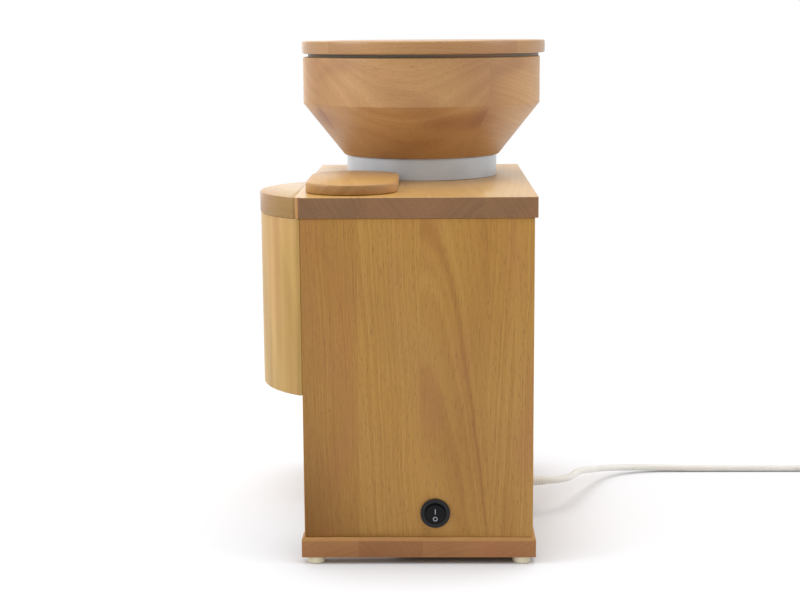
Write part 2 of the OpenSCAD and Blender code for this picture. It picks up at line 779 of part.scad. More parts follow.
module lower_shield() {
    top = stator_z;
    color("lightgray") on_axis() difference() {
        union() {
            tube(stator_r - 9, stator_r, top - lower_flange_t - 0.01, top);
            tube(cage_r - 3, stator_r, top - 2 * lower_flange_t, top - lower_flange_t);
            tube(cage_r - 3, cage_r, cage_z, top - 2 * lower_flange_t + 0.01);
            disc(cage_r, cage_z, cage_z + 3);
            disc(bearing_low[0] + 3, cage_z, bearing_low_z + bearing_low[1]);
        }
        disc(bearing_low[0] + fit_clear, bearing_low_z, bearing_low_z + bearing_low[1] + 1);
        disc(shaft_end_d / 2 + 1, cage_z - 1, bearing_low_z + 1);
        around(2, 90) translate([bolt_r, 0, top - 10]) cylinder(r = 2.1, h = 12);
        around(4, 45) translate([0, -8, cage_z + 8]) cube([cage_r + 1, 16, 34]);
        around(2) translate([cage_r - 6, -5.1, commutator_z + 1.9]) cube([10, 10.2, 10.2]);
        around(6, 30) translate([22, 0, cage_z - 1]) cylinder(r = 3, h = 5);
    }
}

module stator_core() {
    z1 = stator_z + stator_l;
    color("dimgray") on_axis() difference() {
        union() {
            tube(stator_r - 9.5, stator_r, stator_z, z1);
            for (a = [0, 180]) {
                arc_block(armature_r + 0.5, stator_r - 9, a - 18, a + 18, stator_z, z1);
                arc_block(armature_r + 0.5, armature_r + 3, a - 55, a + 55, stator_z, z1);
            }
        }
        around(2, 90) translate([bolt_r, 0, stator_z - 1]) cylinder(r = 2.1, h = stator_l + 2);
    }
}

// Two coils, each round one pole
module field_windings() {
    r0 = armature_r + 3.3;
    r1 = stator_r - 9.8;
    z1 = stator_z + stator_l;
    color("chocolate") on_axis() for (a = [0, 180]) {
        arc_block(r0, r1, a - 52, a - 20, stator_z - winding_out, z1 + winding_out);
        arc_block(r0, r1, a + 20, a + 52, stator_z - winding_out, z1 + winding_out);
        arc_block(r0, r1, a - 21, a + 21, stator_z - winding_out, stator_z - 0.3);
        arc_block(r0, r1, a - 21, a + 21, z1 + 0.3, z1 + winding_out);
    }
}

module armature_core() {
    color("gray") on_axis() difference() {
        disc(armature_r, stator_z, stator_z + stator_l);
        disc(shaft_d / 2 + fit_clear, stator_z - 1, stator_z + stator_l + 1);
        around(12) translate([armature_r - 2.5, -0.9, stator_z - 1]) cube([4, 1.8, stator_l + 2]);
    }
}

module armature_winding() {
    color("sienna") on_axis() difference() {
        union() {
            disc(armature_r - 4, stator_z + stator_l, stator_z + stator_l + 5);
            disc(armature_r - 4, stator_z - 12, stator_z);
            disc(commutator_r - 1, commutator_z + commutator_h, stator_z - 11.9);
        }
        disc(shaft_d / 2 + fit_clear, stator_z - 60, stator_z + stator_l + 20);
    }
}

module commutator() {
    color("darkorange") on_axis() difference() {
        tube(shaft_d / 2 + fit_clear, commutator_r, commutator_z, commutator_z + commutator_h);
        around(16) translate([commutator_r - 1, -0.3, commutator_z - 1]) cube([2, 0.6, commutator_h + 2]);
    }
}

module cooling_fan() {
    color("black") on_axis() difference() {
        union() {
            disc(8, fan_z, fan_z + fan_h);
            disc(fan_r, fan_z, fan_z + 1.6);
            around(fan_blades) translate([7, -0.8, fan_z]) cube([fan_r - 8, 1.6, fan_h]);
        }
        disc(shaft_end_d / 2 + fit_clear, fan_z - 1, fan_z + fan_h + 1);
    }
}

module carbon_brushes() {
    color("black") on_axis() around(2)
        translate([commutator_r + fit_clear, -3, commutator_z + 4]) cube([10, 6, 6]);
}

module brush_holders() {
    color("gold") on_axis() around(2) difference() {
        translate([commutator_r + 2, -5, commutator_z + 2]) cube([cage_r - commutator_r + 2, 10, 10]);
        translate([commutator_r + 1, -3.1, commutator_z + 3.9]) cube([cage_r - commutator_r, 6.2, 6.2]);
    }
}

module motor_bolts() {
    color("silver") on_axis() around(2, 90) translate([bolt_r, 0, stator_z - 2 * lower_flange_t])
        screw_up(4, 2 * lower_flange_t + stator_l + skirt_h + 5, 8, 3.5);
}

module motor_screws() {
    d = motor_screw;
    color("silver") on_axis() around(3, 20) translate([30, 0, chamber_floor_z - d[3] - 0.2]) {
        cylinder(d = d[2], h = d[3]);
        translate([0, 0, -d[1]]) cylinder(d = d[0], h = d[1] + 0.01);
    }
}

// The switch's own frame: its axis along X, outwards
module at_switch() {
    translate([near_x, switch_y, switch_z]) rotate([0, 90, 0]) children();
}

module switch_housing() {
    depth = 24;
    color("#26262c") difference() {
        at_switch() difference() {
            union() {
                cylinder(d = bezel_d, h = bezel_t);
                translate([0, 0, -depth]) cylinder(d = switch_d, h = depth + 0.01);
            }
            translate([0, 0, -12]) cylinder(d = rocker_hole_d, h = 12 + bezel_t + 1);
            for (s = [-1, 1]) translate([s * 5, -2.6, -depth - 1]) cube([0.9 + 2 * fit_clear, 5.2, 6]);
        }
        translate([rocker_pivot_x, switch_y, switch_z]) rotate([90, 0, 0])
            cylinder(r = 1 + run_clear, h = switch_d - 1, center = true, $fn = 48);
    }
}

// A see-saw with two flat faces, in its off position: the lower half pressed in
module switch_rocker() {
    half = rocker_travel / 2;
    ridge = 1.6;
    color("#101014") translate([rocker_pivot_x, switch_y, switch_z]) {
        rotate([0, half, 0]) intersection() {
            rotate([0, 90, 0]) cylinder(d = rocker_d, h = 24, center = true);
            rotate([90, 0, 0]) linear_extrude(rocker_d + 2, center = true) polygon([
                [-5, -4.2], [-5, 4.2], [-3, rocker_d / 2], [0, rocker_d / 2],
                [rocker_rise, rocker_d / 2], [ridge, 0], [rocker_rise, -rocker_d / 2], [0, -rocker_d / 2],
                [-3, -rocker_d / 2]]);
        }
        rotate([90, 0, 0]) cylinder(r = 1, h = rocker_hole_d + 2, center = true, $fn = 48);
    }
}

module switch_terminals() {
    color("gold") at_switch() for (s = [-1, 1]) translate([s * 5 + fit_clear, -2.4, -24 - 7])
        cube([0.9, 4.8, 12]);
}

module terminal_block() {
    color("white") difference() {
        block([exit_x - 16, inner_rear_y - 14, 44], [exit_x + 16, inner_rear_y, 58]);
        for (x = [-10, 0, 10]) translate([exit_x + x, inner_rear_y - 7, 52]) cylinder(r = 2.6, h = 8);
        for (x = [-10, 0, 10]) translate([exit_x + x, inner_rear_y - 15, 49]) rotate([-90, 0, 0])
            cylinder(r = 1.6, h = 10);
    }
}

module noise_capacitor() {
    color("gold") block([exit_x + 34, inner_rear_y - 15, 60], [exit_x + 62, inner_rear_y, 84]);
}

// Three insulated wires: block to switch, block to the near brush, switch to the far brush
module inner_wires() {
    y = inner_rear_y - 14.2;
    brush_x = cage_r + 4.6;
    brush_z = commutator_z + 7;
    switch_x = near_x - 31.3;
    color("saddlebrown") {
        sweep([[exit_x + 10, y, 49], [exit_x + 10, y - 6, 49], [exit_x + 14, y - 16, 48],
            [exit_x + 30, y - 32, 44], [switch_x - 30, switch_y + 4, 38],
            [switch_x - 8, switch_y, switch_z - 5], [switch_x, switch_y, switch_z - 5]], wire_r, 8);
        sweep([[exit_x - 10, y, 49], [exit_x - 10, y - 6, 50], [exit_x - 12, y - 14, 56],
            [exit_x - 13, axis_y + 26, 80], [axis_x + brush_x + 6, axis_y + 8, brush_z - 12],
            [axis_x + brush_x + 3, axis_y + 2, brush_z - 2], [axis_x + brush_x, axis_y, brush_z]], wire_r, 8);
        sweep([[switch_x, switch_y, switch_z + 5], [switch_x - 10, switch_y, switch_z + 6],
            [switch_x - 40, switch_y + 12, switch_z + 24], [axis_x + 50, axis_y + 40, 88],
            [axis_x, axis_y + 50, brush_z - 8], [axis_x - 34, axis_y + 38, brush_z - 4],
            [axis_x - brush_x - 10, axis_y + 14, brush_z - 1], [axis_x - brush_x - 6, axis_y + 2, brush_z],
            [axis_x - brush_x, axis_y, brush_z]], wire_r, 8);
    }
}

// The strain relief: a flange on the panel, a tapered sleeve outside and a stem with a nut inside
module cord_gland() {
    color("whitesmoke") translate([exit_x, rear_y, exit_z]) rotate([-90, 0, 0]) rotate_extrude() polygon([
        [cord_d / 2 + fit_clear, -panel_t - 8], [gland_r, -panel_t - 8], [gland_r, -panel_t - 5],
        [gland_nut_r, -panel_t - 5], [gland_nut_r, -panel_t], [gland_r, -panel_t], [gland_r, 0],
        [gland_flange_r, 0], [gland_flange_r, 2], [4.7, 2.6], [boot_r, relief_l],
        [cord_d / 2 + fit_clear, relief_l]]);
}

// A tube swept along points: one ring of vertices at each point, square to the route there
function unit(v) = v / norm(v);
function along(p, i) = unit(p[min(i + 1, len(p) - 1)] - p[max(i - 1, 0)]);
function ring_at(p, i, r, n) = let (t = along(p, i), s = unit(cross([0, 0, 1], t)), u = cross(t, s))
    [for (k = [0 : n - 1]) p[i] + r * (cos(k * 360 / n) * s + sin(k * 360 / n) * u)];

module sweep(p, r, n) {
    m = len(p);
    points = [for (i = [0 : m - 1]) each ring_at(p, i, r, n)];
    sides = [for (i = [0 : m - 2], k = [0 : n - 1]) each
        let (a = i * n + k, b = i * n + (k + 1) % n) [[a, a + n, b], [b, a + n, b + n]]];
    start = [[for (k = [0 : n - 1]) k]];
    finish = [[for (k = [n - 1 : -1 : 0]) (m - 1) * n + k]];
    polyhedron(points = points, faces = concat(sides, start, finish));
}

module mains_cord() {
    color("whitesmoke") sweep(cord_route, cord_d / 2, 10);
}

// The coil's outer shape, and the end of the lead that runs into the plug
module cord_coil() {
    color("whitesmoke") {
        translate([coil_c[0], coil_c[1], 0]) tube(coil_r - coil_half, coil_r + coil_half, 0, coil_h);
        translate([coil_c[0] + 24, plug_y, 0]) rotate([0, 90, 0]) hull() {
            translate([-1.5 * cord_d, 0, 0]) cylinder(d = cord_d, h = 1, $fn = 32);
            translate([-plug_z, 0, plug_x - coil_c[0] - 23]) cylinder(d = cord_d, h = 2, $fn = 32);
        }
    }
}

module coil_tie() {
    color("dimgray") translate([coil_c[0] + coil_r, coil_c[1], 0]) difference() {
        block([-coil_half - 1, -4, 0], [coil_half + 1, 4, coil_h + 1]);
        block([-coil_half + 0.5, -5, 1], [coil_half - 0.5, 5, coil_h - 0.5]);
    }
}

// A flat two-pin plug with a tapered boot and its two pins
module mains_plug() {
    neck_x = boot_l - 2;
    body_x = neck_x + plug_neck[2];
    pin_x = body_x + plug_body[2];
    color("whitesmoke") translate([plug_x, plug_y, plug_z]) rotate([0, 90, 0]) difference() {
        union() {
            cylinder(r = boot_r, h = boot_l);
            translate([-plug_neck[0] / 2, -plug_neck[1] / 2, neck_x]) cube(plug_neck);
            translate([-plug_body[0] / 2, -plug_body[1] / 2, body_x]) cube(plug_body);
            for (s = [-1, 1]) translate([0, s * pin_gap / 2, pin_x]) cylinder(d = pin_d, h = pin_l);
        }
        translate([0, 0, -1]) cylinder(d = cord_d + 2 * fit_clear, h = 5);
    }
}

base_board();
near_side_panel();
far_side_panel();
rear_panel();
front_panel();
bay_side_panel();
bay_back_panel();
bay_ceiling();
corner_battens();
top_board();
spout_shell();
feet();
foot_screws();
base_screws();
hopper_bowl();
hopper_lid();
adjusting_ring();
hopper_screws();
retaining_ring();
threaded_collar();
collar_screws();
milling_chamber();
shaft_seal();
guide_pins();
stone_carrier();
upper_stone();
lower_stone();
stone_holder();
wiper_blades();
stone_nut();
flour_chute();
chute_screws();
channel_cover();
cover_pivot();
motor_shaft();
upper_bearing();
lower_bearing();
upper_shield();
lower_shield();
stator_core();
field_windings();
armature_core();
armature_winding();
commutator();
cooling_fan();
carbon_brushes();
brush_holders();
motor_bolts();
motor_screws();
switch_housing();
switch_rocker();
switch_terminals();
terminal_block();
noise_capacitor();
inner_wires();
cord_gland();
mains_cord();
cord_coil();
coil_tie();
mains_plug();
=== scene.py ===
import bpy
import bmesh
import json
import math
from mathutils import Matrix, Vector

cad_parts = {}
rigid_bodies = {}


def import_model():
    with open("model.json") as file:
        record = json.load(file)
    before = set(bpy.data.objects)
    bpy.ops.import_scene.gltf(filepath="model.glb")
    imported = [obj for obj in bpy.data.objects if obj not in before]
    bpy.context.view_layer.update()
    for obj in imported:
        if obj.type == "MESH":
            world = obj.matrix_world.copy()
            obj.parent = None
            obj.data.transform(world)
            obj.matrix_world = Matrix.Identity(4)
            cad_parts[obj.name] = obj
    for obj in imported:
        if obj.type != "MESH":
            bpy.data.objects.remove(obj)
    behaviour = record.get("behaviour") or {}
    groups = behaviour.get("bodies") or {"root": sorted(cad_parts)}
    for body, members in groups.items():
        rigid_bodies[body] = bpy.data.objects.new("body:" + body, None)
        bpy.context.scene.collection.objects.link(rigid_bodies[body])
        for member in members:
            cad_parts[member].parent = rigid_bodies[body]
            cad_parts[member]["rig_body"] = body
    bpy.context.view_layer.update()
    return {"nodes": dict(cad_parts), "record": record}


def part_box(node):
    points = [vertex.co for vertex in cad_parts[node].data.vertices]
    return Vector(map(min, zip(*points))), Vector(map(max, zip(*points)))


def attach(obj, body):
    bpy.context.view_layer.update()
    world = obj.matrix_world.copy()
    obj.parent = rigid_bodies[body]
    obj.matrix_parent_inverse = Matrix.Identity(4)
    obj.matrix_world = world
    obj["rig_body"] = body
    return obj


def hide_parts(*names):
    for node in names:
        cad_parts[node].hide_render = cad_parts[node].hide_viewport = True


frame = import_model()
nodes = frame["nodes"]
scene = bpy.context.scene
scene.view_settings.view_transform = "Standard"
mm = 0.001
slotOf = {s["node"]: s["material_slot"] for s in frame["record"]["subparts"]}
print("stage: frame loaded,", len(nodes), "nodes")

# eye level a little above the hopper, looking at the side with the switch
viewpoint = {"place": (1.34895, 0.01905, 0.4118), "yaw": 1.157, "pitch": 9.558, "roll": -0.392, "lens": 72,
             "sensor": 36}


def addObject(name, data):
    made = bpy.data.objects.new(name, data)
    scene.collection.objects.link(made)
    return made


def makeCamera(v):
    yaw, pitch, roll = (math.radians(v[k]) for k in ("yaw", "pitch", "roll"))
    data = bpy.data.cameras.new("camera")
    data.lens, data.sensor_width = v["lens"], v["sensor"]
    camera = addObject("camera", data)
    aim = Matrix.Translation(v["place"])
    for angle, axis in ((yaw + math.pi / 2, "Z"), (math.pi / 2 - pitch, "X"), (roll, "Z")):
        aim = aim @ Matrix.Rotation(angle, 4, axis)
    camera.matrix_world = aim
    scene.camera = camera


makeCamera(viewpoint)

# the mains lead: out of the strain relief, down to the table, into a tied coil with the plug beside it
mainsLead = {
    "exit": (12.25, 97.116, 28.5), "diameter": 6, "length": 1.5,
    # steps in X and Y from the exit, and how much of the exit's height is left
    "way": [
        (0, 0, 1), (0, 7, 1), (0, 13, 1), (0, 18, 1), (-1, 25.5, 1), (-3.5, 32, 1), (-8, 38, 1), (-14, 42.5, 0.99),
        (-22, 46, 0.98), (-31, 49.5, 0.95), (-41, 53.5, 0.89), (-52, 58, 0.79), (-63, 62.5, 0.68), (-75, 67, 0.56),
        (-87, 72, 0.45), (-98, 77.5, 0.35), (-108, 84.5, 0.26), (-116, 93, 0.18), (-122, 103, 0.12),
        (-126, 114, 0.08), (-128.5, 126, 0.05), (-130, 140, 0.02), (-130, 155, 0.01), (-130, 172, 0), (-130, 192, 0),
        (-130, 212, 0), (-130, 232, 0), (-130, 252, 0), (-130, 272, 0), (-130, 303, 0)],
    "coilCentre": (-74.75, 414.116), "outerTurn": 43, "innerTurn": 25, "stepsPerTurn": 48, "turns": 5.25,
    "climbFrom": 2.8, "climbTurns": 0.35, "outwardsFrom": 3.25,
    "tail": [(8, 9), (16, 9), (24, 9), (31, 7.8), (39, 7)],
}


def smoothPath(points, perSpan):
    ends = [points[0] * 2 - points[1]] + points + [points[-1] * 2 - points[-2]]
    path = []
    for a, b, c, d in zip(ends, ends[1:], ends[2:], ends[3:]):
        for t in (i / perSpan for i in range(perSpan)):
            bend, twist = 2 * a - 5 * b + 4 * c - d, 3 * b - a - 3 * c + d
            path.append(0.5 * (2 * b + (c - a) * t + bend * t * t + twist * t ** 3))
    return path + [points[-1]]


def coilTurns(lead):
    # three turns inwards on the table, then two outwards on top of them
    centre, thick, points = Vector(lead["coilCentre"]), lead["diameter"], []
    for i in range(int(lead["turns"] * lead["stepsPerTurn"]) + 1):
        t = i / lead["stepsPerTurn"]
        inwards, outwards = lead["outerTurn"] - thick * t, lead["innerTurn"] + thick * (t - lead["outwardsFrom"])
        radius = max(lead["innerTurn"], inwards, outwards)
        climb = min(1, max(0, (t - lead["climbFrom"]) / lead["climbTurns"]))
        angle = math.pi - 2 * math.pi * t
        height = thick / 2 + thick * climb * climb * (3 - 2 * climb)
        points.append(Vector((centre.x + radius * math.cos(angle), centre.y + radius * math.sin(angle), height)))
    return points


def makeLead(lead):
    x, y, z = lead["exit"]
    low = lead["diameter"] / 2
    laid = smoothPath([Vector((x + a, y + b, low + left * (z - low))) for a, b, left in lead["way"]], perSpan=3)
    coil = coilTurns(lead)
    away = [Vector((lead["coilCentre"][0] + a, coil[-1].y, h)) for a, h in lead["tail"]]
    tail = smoothPath([coil[-1]] + away, perSpan=4)[1:]
    path = laid + coil + tail
    data = bpy.data.curves.new("mains_lead", "CURVE")
    data.dimensions, data.use_fill_caps = "3D", True
    data.bevel_depth, data.bevel_resolution = 1, 4  # each point's radius gives the real thickness
    spline = data.splines.new("POLY")
    spline.points.add(len(path) - 1)
    for place, p in zip(spline.points, path):
        place.co, place.radius = (p.x * mm, p.y * mm, p.z * mm, 1), low * mm
    piece = addObject("mains_lead", data)
    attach(piece, "casing")
    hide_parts("mains_cord", "cord_coil")
    print("stage: mains lead,", round(sum((b - a).length for a, b in zip(path, path[1:]))), "mm")
    return piece


leadPiece = makeLead(mainsLead)


def toLinear(colour):
    values = [int(colour[i:i + 2], 16) / 255 for i in (1, 3, 5)]
    return tuple(v / 12.92 if v <= 0.04045 else ((v + 0.055) / 1.055) ** 2.4 for v in values) + (1.0,)


def addNode(tree, kind, sockets=None, **settings):
    # shader nodes go without their prefix
    family = "" if kind.startswith(("Geometry", "NodeGroup")) else "ShaderNode"
    node = tree.nodes.new(family + kind)
    for name, value in settings.items():
        setattr(node, name, value)
    for key, value in (sockets or {}).items():
        if isinstance(value, bpy.types.Node):
            value = next(output for output in value.outputs if output.enabled)
        if isinstance(value, bpy.types.NodeSocket):
            tree.links.new(value, node.inputs[key])
        else:
            node.inputs[key].default_value = value
    return node


def clearedTree(owner):
    owner.use_nodes = True
    owner.node_tree.nodes.clear()
    return owner.node_tree


def newMaterial(name):
    material = bpy.data.materials.new(name)
    return material, clearedTree(material)


def endMaterial(tree, look, colour, rough, height):
    # the shader: its roughness varies with one pattern, and another gives the relief
    varied = {0: rough, 1: look["roughSpread"], 2: look["roughness"] - look["roughSpread"] / 2}
    carved = {"Height": height, "Strength": look["reliefStrength"], "Distance": look["relief"] * mm}
    shader = addNode(tree, "BsdfPrincipled", {
        "Base Color": colour, "Roughness": addNode(tree, "Math", varied, operation="MULTIPLY_ADD"),
        "Normal": addNode(tree, "Bump", carved), "Metallic": look["metallic"], "Specular IOR Level": look["specular"],
        "Coat Weight": look["coat"], "Coat Roughness": 0.25})
    addNode(tree, "OutputMaterial", {"Surface": shader})


def fillRamp(ramp, stops, interpolation="LINEAR"):
    ramp.color_ramp.interpolation = interpolation
    while len(ramp.color_ramp.elements) < len(stops):
        ramp.color_ramp.elements.new(1.0)
    for element, (at, colour) in zip(ramp.color_ramp.elements, stops):
        element.position, element.color = at, colour


# Solid wood, planed or turned and then oiled: soft sheen, growth rings about a slanted heart line, fine fibres and
# short pores along the grain, darker end grain. Sizes are in mm. A pattern is (size across the grain, length along it),
# and its "Depth" is how strongly it shows. A stave is (edge, tone, heart line, place in the log). "tones" are the dark,
# middle and light of the side grain, then the dark and light of the end grain.
oiled = {
    "metallic": 0.0, "roughness": 0.42, "roughSpread": 0.16, "specular": 0.38, "coat": 0.0,
    "heartReach": 400, "heartDepth": -60, "logLength": 900, "figure": 9.4, "sway": (45, 130), "swayDepth": 9,
    "ring": 58, "ringDepth": 0.55, "fibre": (0.6, 24), "fibreDepth": 0.42, "cloud": (34, 150), "cloudDepth": 0.45,
    "pore": (0.7, 6), "poreShows": (0.58, 0.74), "poreDepth": 0.3, "poreColour": "#6E4624", "poreSinks": 0.6,
    "blush": (38, 110), "blushShows": (0.48, 0.72), "blushDepth": 0.3, "blushColour": "#A0623E",
    "speck": (1.1, 30), "endShows": (0.25, 0.95), "endDepth": 1.0, "endFigure": 0.3, "endSpread": (0.15, 0.85),
    "relief": 0.12, "reliefStrength": 0.35}
lengthwise = {**oiled, "grain": "X", "across": "y"}
capWood = {**lengthwise, "span": 0, "heartDepth": -190, "coat": 0.35,
           "staves": [(-125, 0.5, -80, 0.75), (-100, 0.5, -90, 0.75)]}
discWood = {**oiled, "grain": "Y", "across": "x", "span": 60}
panelTones = ("#8C5C22", "#A67833", "#B88F47", "#6F4723", "#8A5E2E")
uprightTurns = {"Z": (0, 0, 0), "X": (0, -math.pi / 2, 0), "Y": (math.pi / 2, 0, 0)}
woods = {
    # planed boards glued side by side: warm brown, with arched figure, and one thin dark late-wood line that is
    # given by (where it meets, width, depth)
    "beechSidePanel": {**oiled, "slot": "panel_wood", "grain": "Z", "across": "y", "span": 110, "heartDepth": 60,
        "fibreDepth": 0.5, "poreDepth": 0.4, "darkRing": (1090, 16, 0.24), "tones": panelTones,
        "staves": [(-110, 0.4, -200, 0.1), (-37.9, 0.58, -110, 0.33), (9.8, 0.52, 14, 0.0), (61.8, 0.58, 150, 0.52),
        (81.7, 0.66, 260, 0.21)]},
    "beechCrossPanel": {**oiled, "grain": "Z", "across": "x", "span": 150, "heartDepth": -140, "tones": panelTones,
        "staves": [(-150, 0.5, -60, 0.6), (-92, 0.42, -190, 0.2), (-41, 0.56, -20, 0.8), (18, 0.45, 120, 0.4),
        (66, 0.55, 40, 0.1), (112, 0.48, 260, 0.5)]},
    # lighter than the panels, with a thin gloss, and its sawn ends are dark
    "beechTopBoard": {**lengthwise, "slot": "top_board_wood", "span": 110, "heartDepth": -230, "coat": 0.35,
        "blushDepth": 0.12, "endFigure": 0.5, "staves": [(-120, 0.5, -60, 0.2), (-81.5, 0.45, -140, 0.45),
        (-30, 0.6, -70, 0.8), (18, 0.52, 90, 0.3), (58, 0.62, 20, 0.65)],
        "tones": ("#A87C3C", "#BE9148", "#CDA45A", "#603E20", "#8C653D")},
    # the round cap is a separate block, its face nearly along the grain; its sides take this darker copy of its wood,
    # painted shade
    "beechCapShadedSides": {**capWood, "endDepth": 0.25, "tones": ("#7E5A25", "#926E32", "#A27E3E", "#745224", "#8E6830")},
    # the cap's top takes a lighter copy of the same wood, painted light on the face turned up
    "beechCapLitTop": {**capWood, "tones": ("#9E7B42", "#AF8C4E", "#BD9B5D", "#74522A", "#8E6838")},
    # sawn from four staves, of which the second is redder and darker
    "beechBaseBoard": {**lengthwise, "slot": "base_board_wood", "span": 110, "heartDepth": 90, "ringDepth": 0.4,
        "staves": [(-110, 0.62, -20, 0.3), (-39.3, 0.4, -150, 0.5), (10.7, 0.6, 60, 0.75), (60, 0.55, 160, 0.15)],
        "tones": ("#9C6A2C", "#B47C38", "#C08C46", "#7E4E2A", "#AC7844")},
    # the run-out at a rounded edge shows side grain, and this lighter finish is also a painted highlight on rounded
    # edges that catch the light
    "beechSideGrainLitEdge": {**lengthwise, "span": 110, "heartDepth": 90, "endDepth": 0.0, "staves": [(-110, 0.5, -20, 0.3),
        (-39.3, 0.42, -150, 0.5), (10.7, 0.55, 60, 0.75), (60, 0.5, 160, 0.15)],
        "tones": ("#9C6E3B", "#AC7D46", "#B98A50", "#935F30", "#B07A42")},
    # one board with milled edges: quiet figure, no gloss
    "beechCover": {**lengthwise, "slot": "cover_wood", "span": 0, "heartDepth": -250, "staves": [(-100, 0.5, -10, 0.4),
        (-38, 0.56, -60, 0.9)], "tones": ("#A27A42", "#B68C52", "#C49C5E", "#7E5428", "#B08854")},
    # rotary-cut veneer bent round a form: pale, with long soft streaks
    "bentSpoutVeneer": {**oiled, "slot": "spout_wood", "grain": "Z", "across": "x", "span": 160, "heartDepth": -40,
        "ring": 90, "ringDepth": 0.5, "cloud": (9, 260), "cloudDepth": 1.0, "fibreDepth": 0.28, "poreDepth": 0.08,
        "specular": 0.4, "blushColour": "#C08C5C", "staves": [(0, 0.5, 60, 0.35), (150, 0.5, 60, 0.35)],
        "tones": ("#9C7638", "#B18D4C", "#C5A360", "#8C6A38", "#A2804A")},
    # turned from four quarter boards, each with its own grain direction
    "beechHopper": {**oiled, "slot": "hopper_wood", "grain": "Y", "across": "y", "centre": (-47.85, 10.62),
        "firstJoint": -56.5, "span": 4, "heartDepth": 40, "heartReach": 600, "ring": 64, "ringDepth": 0.45,
        "fibre": (0.9, 30), "blushDepth": 0.62, "blushAt": 1.3, "blushColour": "#86523A",
        "staves": [(0, 0.5, -300, 0.15), (1, 0.45, -420, 0.4), (2, 0.52, -330, 0.62), (3, 0.44, -250, 0.85)],
        "tones": ("#9A6E42", "#B58A5A", "#C69E6C", "#8E613C", "#AC8050")},
    # a dark grey copy of the lid's wood for the narrow groove under the rim: painted shade in the recess
    "paintedGrooveShade": {**discWood, "specular": 0.1, "staves": [(-160, 0.5, -90, 0.3), (0, 0.5, 0, 0.5)],
        "tones": ("#6B6355", "#776F60", "#837B6C", "#645C4F", "#776F60")},
    # four boards turned to a disc, with a thin gloss
    "beechLid": {**discWood, "slot": "lid_wood", "coat": 0.4, "blushDepth": 0.15, "staves": [(-160, 0.5, -90, 0.3),
        (-96, 0.44, -60, 0.6), (-30, 0.62, 10, 0.1), (22, 0.36, 120, 0.8)],
        "tones": ("#946838", "#AE8250", "#C49C64", "#8B6036", "#AA814E")},
    # plain planed softwood inside: pale and dry
    "sprucePlaned": {**oiled, "slot": "inner_wood", "roughness": 0.6, "grain": "Z", "across": "x", "span": 150,
        "staves": [(-150, 0.5, 20, 0.3), (0, 0.5, 60, 0.6)],
        "tones": ("#B8915C", "#CAA874", "#D8BC8C", "#A27C48", "#BA9460")},
}


def shows(w, what):
    # from which to which value a pattern fades in
    return dict(zip(("From Min", "From Max"), w[what + "Shows"]))


